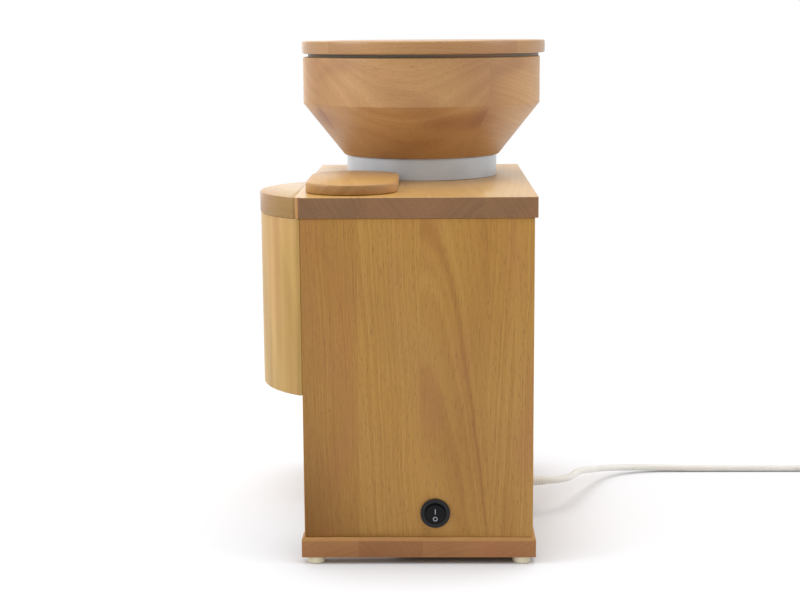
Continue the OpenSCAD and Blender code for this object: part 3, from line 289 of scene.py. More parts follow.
def makeWood(name, w):
    dark, middle, light, endDark, endLight = (toLinear(tone) for tone in w["tones"])
    material, tree = newMaterial(name)
    place = addNode(tree, "TexCoord")
    point = addNode(tree, "VectorMath", {0: place.outputs["Object"], "Scale": 1 / mm}, operation="SCALE")
    normal = place.outputs["Normal"]
    if "centre" in w:
        # each quarter of the bowl is turned back, so that its own grain lies the same way
        point = addNode(tree, "VectorMath", {0: point, 1: (*w["centre"], 0)}, operation="SUBTRACT")
        flat = addNode(tree, "SeparateXYZ", {0: point})
        angle = addNode(tree, "Math", {0: flat.outputs[1], 1: flat.outputs[0]}, operation="ARCTAN2")
        first, quarterTurn = math.radians(w["firstJoint"]), math.pi / 2
        fromFirst = {0: angle, 1: 1 / quarterTurn, 2: -first / quarterTurn}
        turns = addNode(tree, "Math", fromFirst, operation="MULTIPLY_ADD")
        quarter = addNode(tree, "Math", {0: turns}, operation="FLOOR")
        toMiddle = {0: quarter, 1: -quarterTurn, 2: -first - quarterTurn / 2}
        back = addNode(tree, "Math", toMiddle, operation="MULTIPLY_ADD")
        point, normal = (addNode(tree, "VectorRotate", {"Vector": v, "Angle": back}, rotation_type="Z_AXIS")
                         for v in (point, normal))
        toStave = 2.5  # the quarters count from -2, and this makes them the middles of staves 0 to 3
        staveAt = addNode(tree, "Math", {0: quarter, 1: toStave}, operation="ADD")
    turned, facing = (addNode(tree, "Mapping", {"Vector": v, "Rotation": uprightTurns[w["grain"]]})
                      for v in (point, normal))
    split = addNode(tree, "SeparateXYZ", {0: turned})
    across, depth = split.outputs[:2] if w["across"] == "x" else (split.outputs[1], split.outputs[0])
    if "centre" not in w:
        staveAt = across
    # the stave's tone, heart line and place in the log, looked up by its place
    low, high, reach = w["staves"][0][0], w["span"], w["heartReach"]
    share = addNode(tree, "MapRange", {"Value": staveAt, "From Min": low, "From Max": high})
    lookUp = addNode(tree, "ValToRGB", {"Fac": share})
    fillRamp(lookUp, [((edge - low) / (high - low), (tone, (heart + reach) / (2 * reach), log, 1))
                      for edge, tone, heart, log in w["staves"]], "CONSTANT")
    stave = addNode(tree, "SeparateColor", {0: lookUp.outputs[0]})
    heart = addNode(tree, "MapRange", {"Value": stave.outputs[1], "To Min": -reach, "To Max": reach})
    # patterns stretched along the grain
    layers = {}
    for layer, detail in (("sway", 2.0), ("fibre", 2.0), ("pore", 1.0), ("cloud", 1.0), ("speck", 2.0), ("blush", 1.0)):
        size, length = w[layer]
        scales = {1: (1 / size, 1 / size, 1 / length), 2: (w.get(layer + "At", 0.0),) * 3}
        scaled = addNode(tree, "VectorMath", {0: turned, **scales}, operation="MULTIPLY_ADD")
        layers[layer] = addNode(tree, "TexNoise", {"Vector": scaled, "Scale": 1.0, "Detail": detail})
    # growth rings: the height at which each ring's arch meets the heart line
    swing = {0: layers["sway"], 1: w["swayDepth"], 2: -w["swayDepth"] / 2}
    sway = addNode(tree, "Math", swing, operation="MULTIPLY_ADD")
    shifted = addNode(tree, "Math", {0: across, 1: sway}, operation="ADD")
    aside = addNode(tree, "Math", {0: shifted, 1: heart}, operation="SUBTRACT")
    below = addNode(tree, "Math", {0: depth, 1: w["heartDepth"]}, operation="SUBTRACT")
    arm = addNode(tree, "CombineXYZ", {0: aside, 1: below})
    square = addNode(tree, "VectorMath", {0: arm, 1: arm}, operation="DOT_PRODUCT")
    arch = addNode(tree, "Math", {0: square, 1: 1 / w["figure"], 2: split.outputs[2]}, operation="MULTIPLY_ADD")
    ringAt = addNode(tree, "Math", {0: stave.outputs[2], 1: w["logLength"], 2: arch}, operation="MULTIPLY_ADD")
    growth = addNode(tree, "TexNoise", {"W": ringAt, "Scale": 1 / w["ring"], "Detail": 2.5, "Roughness": 0.6},
                     noise_dimensions="1D")
    weights = ((growth, w["ringDepth"]), (layers["fibre"], w["fibreDepth"]), (layers["cloud"], w["cloudDepth"]))
    centred = -sum(weight for source, weight in weights) / 2
    tone = addNode(tree, "Math", {0: stave.outputs[0], 1: centred}, operation="ADD")
    for source, weight in weights:
        tone = addNode(tree, "Math", {0: source, 1: weight, 2: tone}, operation="MULTIPLY_ADD")
    if "darkRing" in w:
        meets, width, deep = w["darkRing"]
        off = addNode(tree, "Math", {0: arch, 1: meets}, operation="SUBTRACT")
        ridge = addNode(tree, "Math", {0: off}, operation="ABSOLUTE")
        line = addNode(tree, "MapRange", {"Value": ridge, "From Max": width, "To Min": deep, "To Max": 0.0},
                       interpolation_type="SMOOTHSTEP")
        tone = addNode(tree, "Math", {0: tone, 1: line}, operation="SUBTRACT")
    plain = addNode(tree, "ValToRGB", {"Fac": tone})
    fillRamp(plain, [(0.0, dark), (0.5, middle), (1.0, light)])
    pores = addNode(tree, "MapRange", {"Value": layers["pore"], **shows(w, "pore"), "To Max": w["poreDepth"]})
    flecked = addNode(tree, "Mix", {0: pores, 6: plain, 7: toLinear(w["poreColour"])}, data_type="RGBA")
    # end grain where the surface cuts across the fibres
    upright = addNode(tree, "SeparateXYZ", {0: facing})
    towards = addNode(tree, "Math", {0: upright.outputs[2]}, operation="ABSOLUTE")
    cutAcross = {"Value": towards, **shows(w, "end"), "To Max": w["endDepth"]}
    endShare = addNode(tree, "MapRange", cutAcross, interpolation_type="SMOOTHSTEP")
    calm = addNode(tree, "Math", {0: tone, 1: 1 - w["endFigure"]}, operation="MULTIPLY")
    endTone = addNode(tree, "Math", {0: layers["speck"], 1: w["endFigure"], 2: calm}, operation="MULTIPLY_ADD")
    endTint = addNode(tree, "ValToRGB", {"Fac": endTone})
    fillRamp(endTint, list(zip(w["endSpread"], (endDark, endLight))))
    tinted = addNode(tree, "Mix", {0: endShare, 6: flecked, 7: endTint}, data_type="RGBA")
    # steamed beech is redder in places
    redder = {"Value": layers["blush"], **shows(w, "blush"), "To Max": w["blushDepth"]}
    blushShare = addNode(tree, "MapRange", redder, interpolation_type="SMOOTHSTEP")
    blushed = addNode(tree, "Mix", {0: blushShare, 6: tinted, 7: toLinear(w["blushColour"])}, data_type="RGBA")
    # relief: fibres stand up and pores sink in
    height = addNode(tree, "Math", {0: layers["pore"], 1: -w["poreSinks"], 2: layers["fibre"]},
                     operation="MULTIPLY_ADD")
    endMaterial(tree, w, blushed, layers["fibre"], height)
    return material


# Everything that isn't wood: a colour that varies between two tints, a roughness, and the relief the process leaves.
# "grain" is the size of that relief in mm, and "stretch" draws it out along the rolling, turning or grinding.
moulded = {"metallic": 0.0, "specular": 0.5, "coat": 0.0, "roughness": 0.45, "roughSpread": 0.14,
           "grain": 0.5, "stretch": (1, 1, 1), "fineShare": 0.3, "broadScale": 45.0, "tintsAt": (0.3, 0.7),
           "relief": 0.02, "reliefStrength": 0.4}
metal = {**moulded, "metallic": 1.0, "roughness": 0.3, "fineShare": 0.6, "relief": 0.01}
surfaces = {
    # off-white and smooth, with a soft gloss
    "mouldedRingAbs": {**moulded, "slot": "ring_plastic", "tints": ("#B2B7BD", "#BEC3C8"), "roughness": 0.34,
        "fineShare": 0.2, "relief": 0.01},
    "turnedCollarAcetal": {**moulded, "slot": "collar_plastic", "tints": ("#DCDAD2", "#E6E4DE"), "grain": 0.6,
        "fineShare": 0.2},  # even white
    # milky, a little yellow, slightly pitted
    "mouldedFootPolyethylene": {**moulded, "slot": "foot_plastic", "tints": ("#DDD3B4", "#EAE2C8"), "roughness": 0.5,
        "grain": 0.8, "relief": 0.03},
    # cool, satin
    "zincPlatedSteel": {**metal, "slot": "screw_steel", "tints": ("#AEB0B4", "#C4C6C8"), "roughness": 0.34},
    # fine lines along the rolling
    "rolledStainlessSheet": {**metal, "slot": "sheet_steel", "tints": ("#B4B6BA", "#C6C8CA"), "grain": 0.25,
        "stretch": (1, 1, 0.02), "fineShare": 0.7, "relief": 0.006},
    # bright, with fine rings round the shaft
    "groundShaftSteel": {**metal, "slot": "shaft_steel", "tints": ("#A2A5AA", "#B8BABD"), "roughness": 0.22,
        "grain": 0.2, "stretch": (1, 1, 30), "relief": 0.004},
    # dull and grainy from the sand
    "sandCastAluminium": {**metal, "slot": "cast_aluminium", "tints": ("#B0B3B6", "#C9CBCD"), "roughness": 0.48,
        "grain": 0.9, "fineShare": 0.5, "relief": 0.06},
    # dark stacked sheets under varnish
    "varnishedLamination": {**metal, "slot": "lamination", "tints": ("#4C4F55", "#666A70"), "roughness": 0.42,
        "metallic": 0.6, "stretch": (0.05, 0.05, 1), "fineShare": 0.8, "relief": 0.05},
    # glossy red-brown turns of wire
    "enamelledCopperWire": {**metal, "slot": "copper", "tints": ("#8C4A28", "#C07442"), "metallic": 0.9, "grain": 0.8,
        "stretch": (1, 1, 0.1), "fineShare": 0.8, "relief": 0.2},
    "rolledBrass": {**metal, "slot": "brass", "tints": ("#B8934A", "#D2B062"), "grain": 0.4},  # warm yellow
    # coarse, dry, open grain
    "sinteredCorundum": {**moulded, "slot": "stone", "tints": ("#9A958B", "#C9C4BA"), "roughness": 0.85, "grain": 1.2,
        "fineShare": 0.85, "relief": 0.35},
    "mouldedNitrile": {**moulded, "slot": "seal_rubber", "tints": ("#2A2B30", "#3A3B40"), "roughness": 0.6,
        "fineShare": 0.4},  # dull
    # mid grey and near black, both half matt
    "greyNylon": {**moulded, "slot": "wiper_plastic", "tints": ("#85898E", "#9BA0A5"), "roughness": 0.5, "grain": 0.6},
    "blackNylon": {**moulded, "slot": "fan_plastic", "tints": ("#26272B", "#34353A")},
    # sooty, with hardly any shine
    "pressedCarbon": {**moulded, "slot": "brush_carbon", "tints": ("#18181B", "#26262A"), "roughness": 0.55,
        "grain": 0.3, "fineShare": 0.7},
    # satin black bezel round a blacker, duller rocker with light grey marks
    "switchBezelNylon": {**moulded, "slot": "switch_plastic", "tints": ("#0C0C0E", "#111113"), "roughness": 0.42,
        "specular": 0.3, "grain": 0.35, "relief": 0.015},
    "switchRockerNylon": {**moulded, "slot": "rocker_plastic", "tints": ("#0A0B0D", "#0E1012"), "specular": 0.15,
        "grain": 0.35, "relief": 0.01},
    "printedMark": {**moulded, "tints": ("#9C9CA4", "#ABABB2"), "roughness": 0.5, "grain": 0.4, "relief": 0.005},
    # cream white
    "mouldedPolyamide": {**moulded, "slot": "terminal_plastic", "tints": ("#E2E0D8", "#F0EFEA"), "grain": 0.6},
    # glossy yellow
    "pottedResin": {**moulded, "slot": "capacitor_plastic", "tints": ("#BFA634", "#D6BE44"), "roughness": 0.3,
        "grain": 0.8, "relief": 0.01},
    "brownSilicone": {**moulded, "slot": "wire_plastic", "tints": ("#64442A", "#7A5638"), "roughness": 0.5},  # rubbery
    # off-white, soft gloss, faintly uneven
    "leadPvc": {**moulded, "slot": "cord_plastic", "tints": ("#DAD7CF", "#E4E2DC"), "roughness": 0.42, "grain": 0.7,
        "fineShare": 0.25},
    "tieNylon": {**moulded, "slot": "tie_plastic", "tints": ("#434448", "#55565A")},  # dark grey
}


def makeSurface(name, s):
    material, tree = newMaterial(name)
    place = addNode(tree, "TexCoord")
    scales = tuple(k / (s["grain"] * mm) for k in s["stretch"])
    point = addNode(tree, "Mapping", {"Vector": place.outputs["Object"], "Scale": scales})
    fine = addNode(tree, "TexNoise", {"Vector": point, "Scale": 1.0, "Detail": 3.0})
    wide = addNode(tree, "TexNoise", {"Vector": place.outputs["Object"], "Scale": s["broadScale"], "Detail": 2.0})
    blend = addNode(tree, "Mix", {0: s["fineShare"], 2: wide, 3: fine}, data_type="FLOAT")
    tint = addNode(tree, "ValToRGB", {"Fac": blend})
    fillRamp(tint, [(at, toLinear(one)) for at, one in zip(s["tintsAt"], s["tints"])])
    endMaterial(tree, s, tint, fine, fine)
    return material


finish = {name: makeWood(name, w) for name, w in woods.items()}
finish |= {name: makeSurface(name, s) for name, s in surfaces.items()}
# the finish of every record slot; a finish without one is a second look of a piece
slotFinish = {look["slot"]: name for name, look in {**woods, **surfaces}.items() if "slot" in look}
for name, node in nodes.items():
    node.data.materials.clear()
    node.data.materials.append(finish[slotFinish[slotOf[name]]])
leadPiece.data.materials.append(finish["leadPvc"])
print("stage: materials,", len(finish))


def addPiece(name, mesh, finishes, node, replaced=True):
    # a piece rides with a CAD node's body and takes the listed finishes
    piece = addObject(name, mesh)
    kept = [face.material_index for face in mesh.polygons]  # clearing the materials sets them all to the first
    mesh.materials.clear()
    for one in finishes:
        mesh.materials.append(finish[one])
    mesh.polygons.foreach_set("material_index", kept)
    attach(piece, nodes[node]["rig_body"])
    if replaced:
        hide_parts(node)
    return piece


# "edge" rounds the long sharp edges, "over" is a round-over of the upper outline in (drop, inset) steps, and "joint" is
# the near end of the joint between cap and board: (distance from the joint, distance in from the board's near face).
# A second finish goes to faces that slope this much, and others to what faces up or forwards at least this much.
# The base's round-over and the top board's joint strip take a lighter edge finish, a painted highlight (on the base
# partly its real side grain), and the cap's top and sides take lit and shaded copies of its wood, painted light and
# shade.
sidePanel, crossPanel = ["beechSidePanel"], ["beechCrossPanel"]
boards = {
    "base_board": {"finishes": ["beechBaseBoard", "beechSideGrainLitEdge"], "edge": 0.5,
                   "sloping": (0.02, 0.98), "over": [(3.2, 0), (2.3, 0.12), (1.3, 0.38), (0.6, 0.7), (0, 1.1)]},
    "near_side_panel": {"finishes": sidePanel, "edge": 0.7},
    "far_side_panel": {"finishes": sidePanel, "edge": 0.7},
    "rear_panel": {"finishes": crossPanel, "edge": 0.4},
    "front_panel": {"finishes": crossPanel, "edge": 0.4},
    "bay_side_panel": {"finishes": sidePanel, "edge": 0.4},
    "bay_back_panel": {"finishes": crossPanel, "edge": 0.4},
    "bay_ceiling": {"finishes": crossPanel, "edge": 0.4},
    "top_board": {"finishes": ["beechTopBoard", "beechCapShadedSides", "beechSideGrainLitEdge", "beechCapLitTop"], "edge": 0.9,
                  # a strip along the joint takes the lighter edge finish, a painted highlight on the rounded corner
                  "capFrom": -83.383, "jointReach": 2.5, "strip": (-0.6, 1.5), "up": 0.9, "forwards": 0.3,
                  "joint": [(-2, 1.87), (-0.6, 2.07), (0, 1.1), (0.8, 0.5), (1.5, 0.15), (3, 0)]},
    "spout_shell": {"finishes": ["bentSpoutVeneer"], "edge": 0.8},
    "channel_cover": {"finishes": ["beechCover"], "edge": 0.8, "rim": 0.9,  # round ends, their rim beyond this share
                      "over": [(1.6, 0), (1.0, 0.14), (0.5, 0.44), (0.15, 0.85), (0, 1.3)]},
    "switch_housing": {"finishes": ["switchBezelNylon"], "edge": 0.5},
    "switch_rocker": {"finishes": ["switchRockerNylon"], "edge": 0.4},
    "coil_tie": {"finishes": ["tieNylon"], "edge": 0.3},
}
# a CAD mesh is cleaned first: flat angles go, and sharp edges are rounded unless they are too short (mm, degrees)
cleaning = {"merge": 0.001, "near": 0.002, "cut": 0.0001, "flat": 0.3, "sharp": 40, "shortest": 1.9}


def insetStep(point, low, high, inset, rim):
    step = Vector()
    if rim:  # towards the middle line of the rounded slab
        radius = (high.y - low.y) / 2
        spine = Vector((min(max(point.x, low.x + radius), high.x - radius), (low.y + high.y) / 2, point.z))
        out = point - spine
        return -out.normalized() * inset if out.length > radius * rim else step
    for axis in (0, 1):
        for edge, way in ((high, -1), (low, 1)):
            if abs(point[axis] - edge[axis]) < cleaning["near"] * mm:
                step[axis] = way * inset
    return step


def finishOf(face, b, top):
    # which of the piece's finishes a face takes, from its middle and the way it faces
    middle, facing = face.calc_center_median() / mm, face.normal
    if "strip" in b:
        stripFrom, stripTo = (b["capFrom"] + along for along in b["strip"])
        if middle.y < stripFrom:
            # in the cap, faces turned up take the lit copy of its wood and the rest the shaded copy: painted light and
            # shade
            return 3 if facing.z > b["up"] else 1
        return 2 if middle.y < stripTo and facing.x > b["forwards"] else 0
    least, most = b.get("sloping", (1, 1))
    return int(least < facing.z < most and middle.z > top / mm - b["over"][0][0])


def refine(node, b):
    low, high = (Vector(corner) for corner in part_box(node))
    merge, near, cut = (cleaning[size] * mm for size in ("merge", "near", "cut"))
    mesh = nodes[node].data.copy()
    mesh.name = node + "_made"
    work = bmesh.new()
    work.from_mesh(mesh)
    bmesh.ops.remove_doubles(work, verts=work.verts, dist=merge)
    bmesh.ops.dissolve_limit(work, angle_limit=math.radians(cleaning["flat"]), verts=work.verts, edges=work.edges)
    over, joint = b.get("over", []), b.get("joint", [])
    cuts = [((0, 0, high.z - drop * mm), (0, 0, 1)) for drop, inset in over if drop]
    cuts += [((0, (b["capFrom"] + along) * mm, 0), (0, 1, 0)) for along, inset in joint]
    for place, facing in cuts:
        whole = work.verts[:] + work.edges[:] + work.faces[:]
        bmesh.ops.bisect_plane(work, geom=whole, plane_co=place, plane_no=facing, dist=cut)
    for drop, inset in over:
        for vert in work.verts:
            if abs(vert.co.z - high.z + drop * mm) < near:
                vert.co += insetStep(vert.co, low, high, inset * mm, b.get("rim"))
    for along, inset in joint:
        for vert in work.verts:
            atJoint = abs(vert.co.y - (b["capFrom"] + along) * mm) < near
            if atJoint and vert.co.x > high.x - b["jointReach"] * mm:
                vert.co.x = high.x - inset * mm
    bmesh.ops.remove_doubles(work, verts=work.verts, dist=merge)
    work.normal_update()
    weight = work.edges.layers.float.new("bevel_weight_edge")
    for edge in work.edges:
        if len(edge.link_faces) == 2 and edge.calc_face_angle() > math.radians(cleaning["sharp"]):
            if edge.calc_length() > cleaning["shortest"] * mm:
                edge[weight] = 1
            else:
                edge.smooth = False
    for face in work.faces:
        face.smooth = True
        face.material_index = finishOf(face, b, high.z)
    work.to_mesh(mesh)
    work.free()
    piece = addPiece(mesh.name, mesh, b["finishes"], node)
    bevel = piece.modifiers.new("rounded edges", "BEVEL")
    bevel.limit_method, bevel.width, bevel.segments = "WEIGHT", b["edge"] * mm, 3
    bevel.harden_normals, bevel.use_clamp_overlap = True, True


for node, b in boards.items():
    refine(node, b)
print("stage: boards and mouldings")

# turned pieces: closed outlines of (radius, height, corner radius), spun about an upright axis
turnedPieces = {
    "hopper": {"node": "hopper_bowl", "finishes": ["beechHopper"], "outline": [
        (24, 306.6, 0.6), (67, 306.6, 0.8), (102, 350.6, 1.6), (102, 390, 1.4), (91, 390, 1.4), (91, 350.6, 6),
        (24, 314.6, 3)]},
    "lid": {"node": "hopper_lid", "finishes": ["beechLid", "paintedGrooveShade"],
            "groove": (89.5, 103, 389.9, 393.4), "outline": [
        (0, 384, 0), (89, 384, 1.2), (89, 390, 0.3), (99.2, 390, 0.3), (99.2, 392.8, 0.3), (104.5, 392.8, 1.8),
        (104.5, 403.6, 1.9), (0, 403.6, 0)]},
    "ring": {"node": "adjusting_ring", "finishes": ["mouldedRingAbs"], "outline": [
        (24, 262, 0.6), (32, 262, 0.6), (32, 300.6, 1.5), (51, 300.6, 1.5), (51, 272.3, 0.6), (58, 272.3, 0.8),
        (58, 288.2, 0.3), (65, 288.2, 0.2), (65, 306.6, 0.8), (24, 306.6, 0.8)]},
    "feet": {"node": "feet", "finishes": ["mouldedFootPolyethylene"], "steps": 48, "cornerIn": 7, "outline": [
        (1.9, 3.3, 0), (3.6, 3.3, 0.2), (3.6, 0, 0.3), (7, 0, 1.2), (7, 5.5, 0.4), (1.9, 5.5, 0)]},
}


def roundCorners(outline, arcSteps=5):
    points = []
    for i, (r, z, size) in enumerate(outline):
        here = Vector((r, z))
        if size == 0:
            points.append(here)
            continue
        before, after = ((Vector(outline[(i + s) % len(outline)][:2]) - here).normalized() for s in (-1, 1))
        cut = size / math.tan(before.angle(after) / 2)
        for t in (k / arcSteps for k in range(arcSteps + 1)):
            points.append((here + before * cut) * (1 - t) ** 2 + here * 2 * t * (1 - t) + (here + after * cut) * t * t)
    return points


def circle(steps):
    return [(math.cos(a), math.sin(a)) for a in (2 * math.pi * k / steps for k in range(steps))]


def joinRings(work, rings, closed=False):
    # faces between each ring and the next, where a ring may also be one point
    for a, b in zip(rings, rings[1:] + rings[:1] if closed else rings[1:]):
        for k in range(len(a)):
            after = (k + 1) % len(a)
            corners = list(dict.fromkeys((a[k], a[after], b[after], b[k])))
            if len(corners) > 2:
                work.faces.new(corners)


def endMesh(name, work):
    bmesh.ops.recalc_face_normals(work, faces=work.faces)
    mesh = bpy.data.meshes.new(name)
    work.to_mesh(mesh)
    work.free()
    return mesh


def shadeByAngle(mesh, sharpFrom=35):
    for face in mesh.polygons:
        face.use_smooth = True
    mesh.set_sharp_from_angle(angle=math.radians(sharpFrom))
    return mesh


def spinOutline(name, outline, axes, steps):
    points = roundCorners(outline)
    work = bmesh.new()
    for axis in axes:
        rings = []
        for p in points:
            turns = [((axis[0] + p.x * c) * mm, (axis[1] + p.x * s) * mm, p.y * mm) for c, s in circle(steps)]
            onAxis = p.x < cleaning["merge"]
            rings.append([work.verts.new(turns[0])] * steps if onAxis else [work.verts.new(t) for t in turns])
        joinRings(work, rings, closed=True)
    return shadeByAngle(endMesh(name, work))


for name, t in turnedPieces.items():
    low, high = (Vector(corner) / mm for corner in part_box(t["node"]))
    axes = [((low.x + high.x) / 2, (low.y + high.y) / 2)]
    if "cornerIn" in t:  # one at each corner of the node's box
        inwards = t["cornerIn"]
        axes = [(x, y) for x in (low.x + inwards, high.x - inwards) for y in (low.y + inwards, high.y - inwards)]
    mesh = spinOutline(name, t["outline"], axes, t.get("steps", 144))
    if "groove" in t:  # the groove's faces under the rim take the dark grey finish, painted shade
        inner, outer, bottom, top = t["groove"]
        for face in mesh.polygons:
            middle = face.center / mm
            if bottom < middle.z < top and inner < math.dist(middle[:2], axes[0]) < outer:
                face.material_index = 1
    addPiece(name + "_turned", mesh, t["finishes"], t["node"])
print("stage: turned pieces")

# generic on and off marks printed on the rocker's two faces, in mm from the switch's axis
marks = {"axis": (148.45, 21.12, 41.4), "tilt": 11, "ridge": 1.6, "slope": 1.0 / 7.8, "lift": 0.05, "thick": 0.12,
         "line": 0.6, "onHeight": 4.6, "onAt": 2.1, "ringSize": 3.6, "ringAt": -4.2, "steps": 32}


def makeMarks(m):
    work = bmesh.new()
    half, tall, outer, tilt = m["line"] / 2, m["onHeight"] / 2, m["ringSize"] / 2, math.radians(m["tilt"])

    def onFace(y, z, out):
        x = m["ridge"] + abs(z) * m["slope"] + out
        return work.verts.new(((m["axis"][0] + x * math.cos(tilt) + z * math.sin(tilt)) * mm, (m["axis"][1] + y) * mm,
                               (m["axis"][2] - x * math.sin(tilt) + z * math.cos(tilt)) * mm))

    low, high = m["onAt"] - tall, m["onAt"] + tall
    bar = [(half, low), (half, high), (-half, high), (-half, low)]
    under, above = m["lift"] - m["thick"], m["lift"]
    back, front = ([onFace(y, z, out) for y, z in bar] for out in (under, above))
    work.faces.new(front)
    work.faces.new(back[::-1])
    joinRings(work, [back, front])
    inner = outer - m["line"]
    section = ((outer, under), (outer, above), (inner, above), (inner, under))
    rings = [[onFace(r * c, m["ringAt"] + r * s, out) for c, s in circle(m["steps"])] for r, out in section]
    joinRings(work, rings, closed=True)
    addPiece("switch_marks", endMesh("switch_marks", work), ["printedMark"], "switch_rocker", replaced=False)


makeMarks(marks)
print("stage: switch marks")


def bakeTree(tree, geometry, material, sizes, source=None):
    # end a Geometry Nodes tree, run it on a helper object and keep its result as a plain mesh
    real = addNode(tree, "GeometryNodeRealizeInstances", {0: geometry})
    done = addNode(tree, "GeometryNodeSetMaterial", {"Geometry": real, "Material": finish[material]})
    addNode(tree, "NodeGroupOutput", {0: done})
    helper = addObject(tree.name + "_helper", source or bpy.data.meshes.new(tree.name + "_helper"))
    modifier = helper.modifiers.new(tree.name, "NODES")
    modifier.node_group = tree
    for item in tree.interface.items_tree:
        if item.in_out == "INPUT" and item.name in sizes:
            modifier[item.identifier] = sizes[item.name]
    mesh = bpy.data.meshes.new_from_object(helper.evaluated_get(bpy.context.evaluated_depsgraph_get()))
    mesh.name = tree.name
    bpy.data.objects.remove(helper)
    return shadeByAngle(mesh)


def newTree(name, sizes, startsFrom=None):
    tree = bpy.data.node_groups.new(name, "GeometryNodeTree")
    if startsFrom:
        tree.interface.new_socket(startsFrom, in_out="INPUT", socket_type="NodeSocketGeometry")
    for size, value in sizes.items():
        kind = "NodeSocketInt" if isinstance(value, int) else "NodeSocketFloat"
        tree.interface.new_socket(size, in_out="INPUT", socket_type=kind)
    tree.interface.new_socket("Geometry", in_out="OUTPUT", socket_type="NodeSocketGeometry")
    return tree, addNode(tree, "NodeGroupInput").outputs


def pointRow(tree, out, axis):
    start, step = (addNode(tree, "CombineXYZ", {axis: out[size]}) for size in ("Start", "Step"))
    return addNode(tree, "GeometryNodeMeshLine", {"Count": out["Count"], "Start Location": start, "Offset": step})


def softSection(tree, out, width, height):
    section = addNode(tree, "GeometryNodeCurvePrimitiveQuadrilateral", {"Width": out[width], "Height": out[height]})
    corner = {"Curve": section, "Count": out["Corner Steps"], "Radius": out["Corner"]}
    return addNode(tree, "GeometryNodeFilletCurve", corner, mode="POLY")


# the strain relief: a flange and a tapered sleeve with moulded ribs
strainRelief = {
    "bore": 3.02, "stem": 22, "thread": 4.4, "nut": 5.9, "nutAt": (-19, -14), "flange": 5.5, "flangeThick": 2,
    "rootRise": 0.3, "root": 4.6, "tip": 3.5, "length": 20, "steps": 48,
    "ribs": {"Count": 6, "Start": 0.0042, "Step": 0.0026, "Thickness": 0.0011, "Wall": 0.0015, "Radius": 0.00405,
             "Sides": 40, "Corner Steps": 3, "Corner": 0.0003, "Tip Share": 0.0038 / 0.0048}}


def relieveRibs(sizes):
    # a row of rings that shrink evenly towards the tip
    tree, out = newTree("strain_relief_ribs", sizes)
    row = pointRow(tree, out, 2)
    index = addNode(tree, "GeometryNodeInputIndex")
    last = addNode(tree, "Math", {0: out["Count"], 1: 1.0}, operation="SUBTRACT")
    along = addNode(tree, "Math", {0: index, 1: last}, operation="DIVIDE")
    shrink = addNode(tree, "Mix", {0: along, 2: 1.0, 3: out["Tip Share"]}, data_type="FLOAT")
    size = addNode(tree, "CombineXYZ", {0: shrink, 1: shrink, 2: 1.0})
    turn = addNode(tree, "GeometryNodeCurvePrimitiveCircle", {"Resolution": out["Sides"], "Radius": out["Radius"]})
    soft = softSection(tree, out, "Wall", "Thickness")
    ring = addNode(tree, "GeometryNodeCurveToMesh", {"Curve": turn, "Profile Curve": soft})
    placed = addNode(tree, "GeometryNodeInstanceOnPoints", {"Points": row, "Instance": ring, "Scale": size})
    return bakeTree(tree, placed, "leadPvc", sizes)


def makeRelief(s, place):
    bore, thread, nut, flange = s["bore"], s["thread"], s["nut"], s["flange"]
    nutEnd, nutFrom = s["nutAt"]
    outline = [(bore, -s["stem"], 0), (thread, -s["stem"], 0.3), (thread, nutEnd, 0), (nut, nutEnd, 0.4),
               (nut, nutFrom, 0.3), (thread, nutFrom, 0), (thread, 0, 0), (flange, 0, 0.2),
               (flange, s["flangeThick"], 0.6), (s["root"], s["flangeThick"] + s["rootRise"], 0.2),
               (s["tip"], s["length"], 0.3), (bore, s["length"], 0)]
    lay = Matrix.Translation(Vector(place) * mm) @ Matrix.Rotation(-math.pi / 2, 4, "X")
    for mesh in (spinOutline("strain_relief", outline, [(0, 0)], s["steps"]), relieveRibs(s["ribs"])):
        mesh.transform(lay)
        addPiece(mesh.name, mesh, ["leadPvc"], "cord_gland", replaced=mesh.name == "strain_relief")


makeRelief(strainRelief, mainsLead["exit"])
print("stage: strain relief")

# flat two-pin plug lying on the table: sections of (distance along, half width, half height, squareness)
plug = {
    "start": (-38.75, 451.116, 7), "steps": 48,
    "sections": [
        (4, 3.12, 3.12, 2), (0, 3.12, 3.12, 2), (0, 3.5, 3.5, 2), (0.4, 3.6, 3.6, 2), (17, 3.7, 3.7, 2),
        (22, 4.6, 4.4, 2.1), (27, 6.6, 5.4, 2.4), (31, 8.6, 6.1, 2.8), (33.5, 11.5, 6.4, 3), (35.5, 14.6, 6.5, 3.4),
        (38, 16.6, 6.5, 3.8), (42, 17.4, 6.5, 4), (53, 17.5, 6.5, 4), (57.6, 17.4, 6.5, 4), (58.6, 17, 6.2, 4),
        (59, 16.4, 5.7, 4)],
    "pin": {"gap": 18.6, "steps": 32, "outline": [(0, 57, 0), (2, 57, 0), (2, 77.2, 0.9), (1.2, 78, 0), (0, 78, 0)]},
    "grip": {"Count": 5, "Start": 0.0395, "Step": 0.0034, "Length": 0.017, "Thickness": 0.0013, "Low": -0.0067,
             "Height": 0.0134, "Corner Steps": 4, "Corner": 0.0006}}


def plugShell(p):
    work = bmesh.new()
    rings = []
    for x, wide, high, square in p["sections"]:
        ring = []
        for c, s in circle(p["steps"]):
            reach = (abs(c) ** square + abs(s) ** square) ** (-1 / square)
            ring.append(work.verts.new((x * mm, wide * c * reach * mm, high * s * reach * mm)))
        rings.append(ring)
    joinRings(work, rings)
    work.faces.new(rings[0])
    work.faces.new(rings[-1])
    return shadeByAngle(endMesh("plug_body", work))


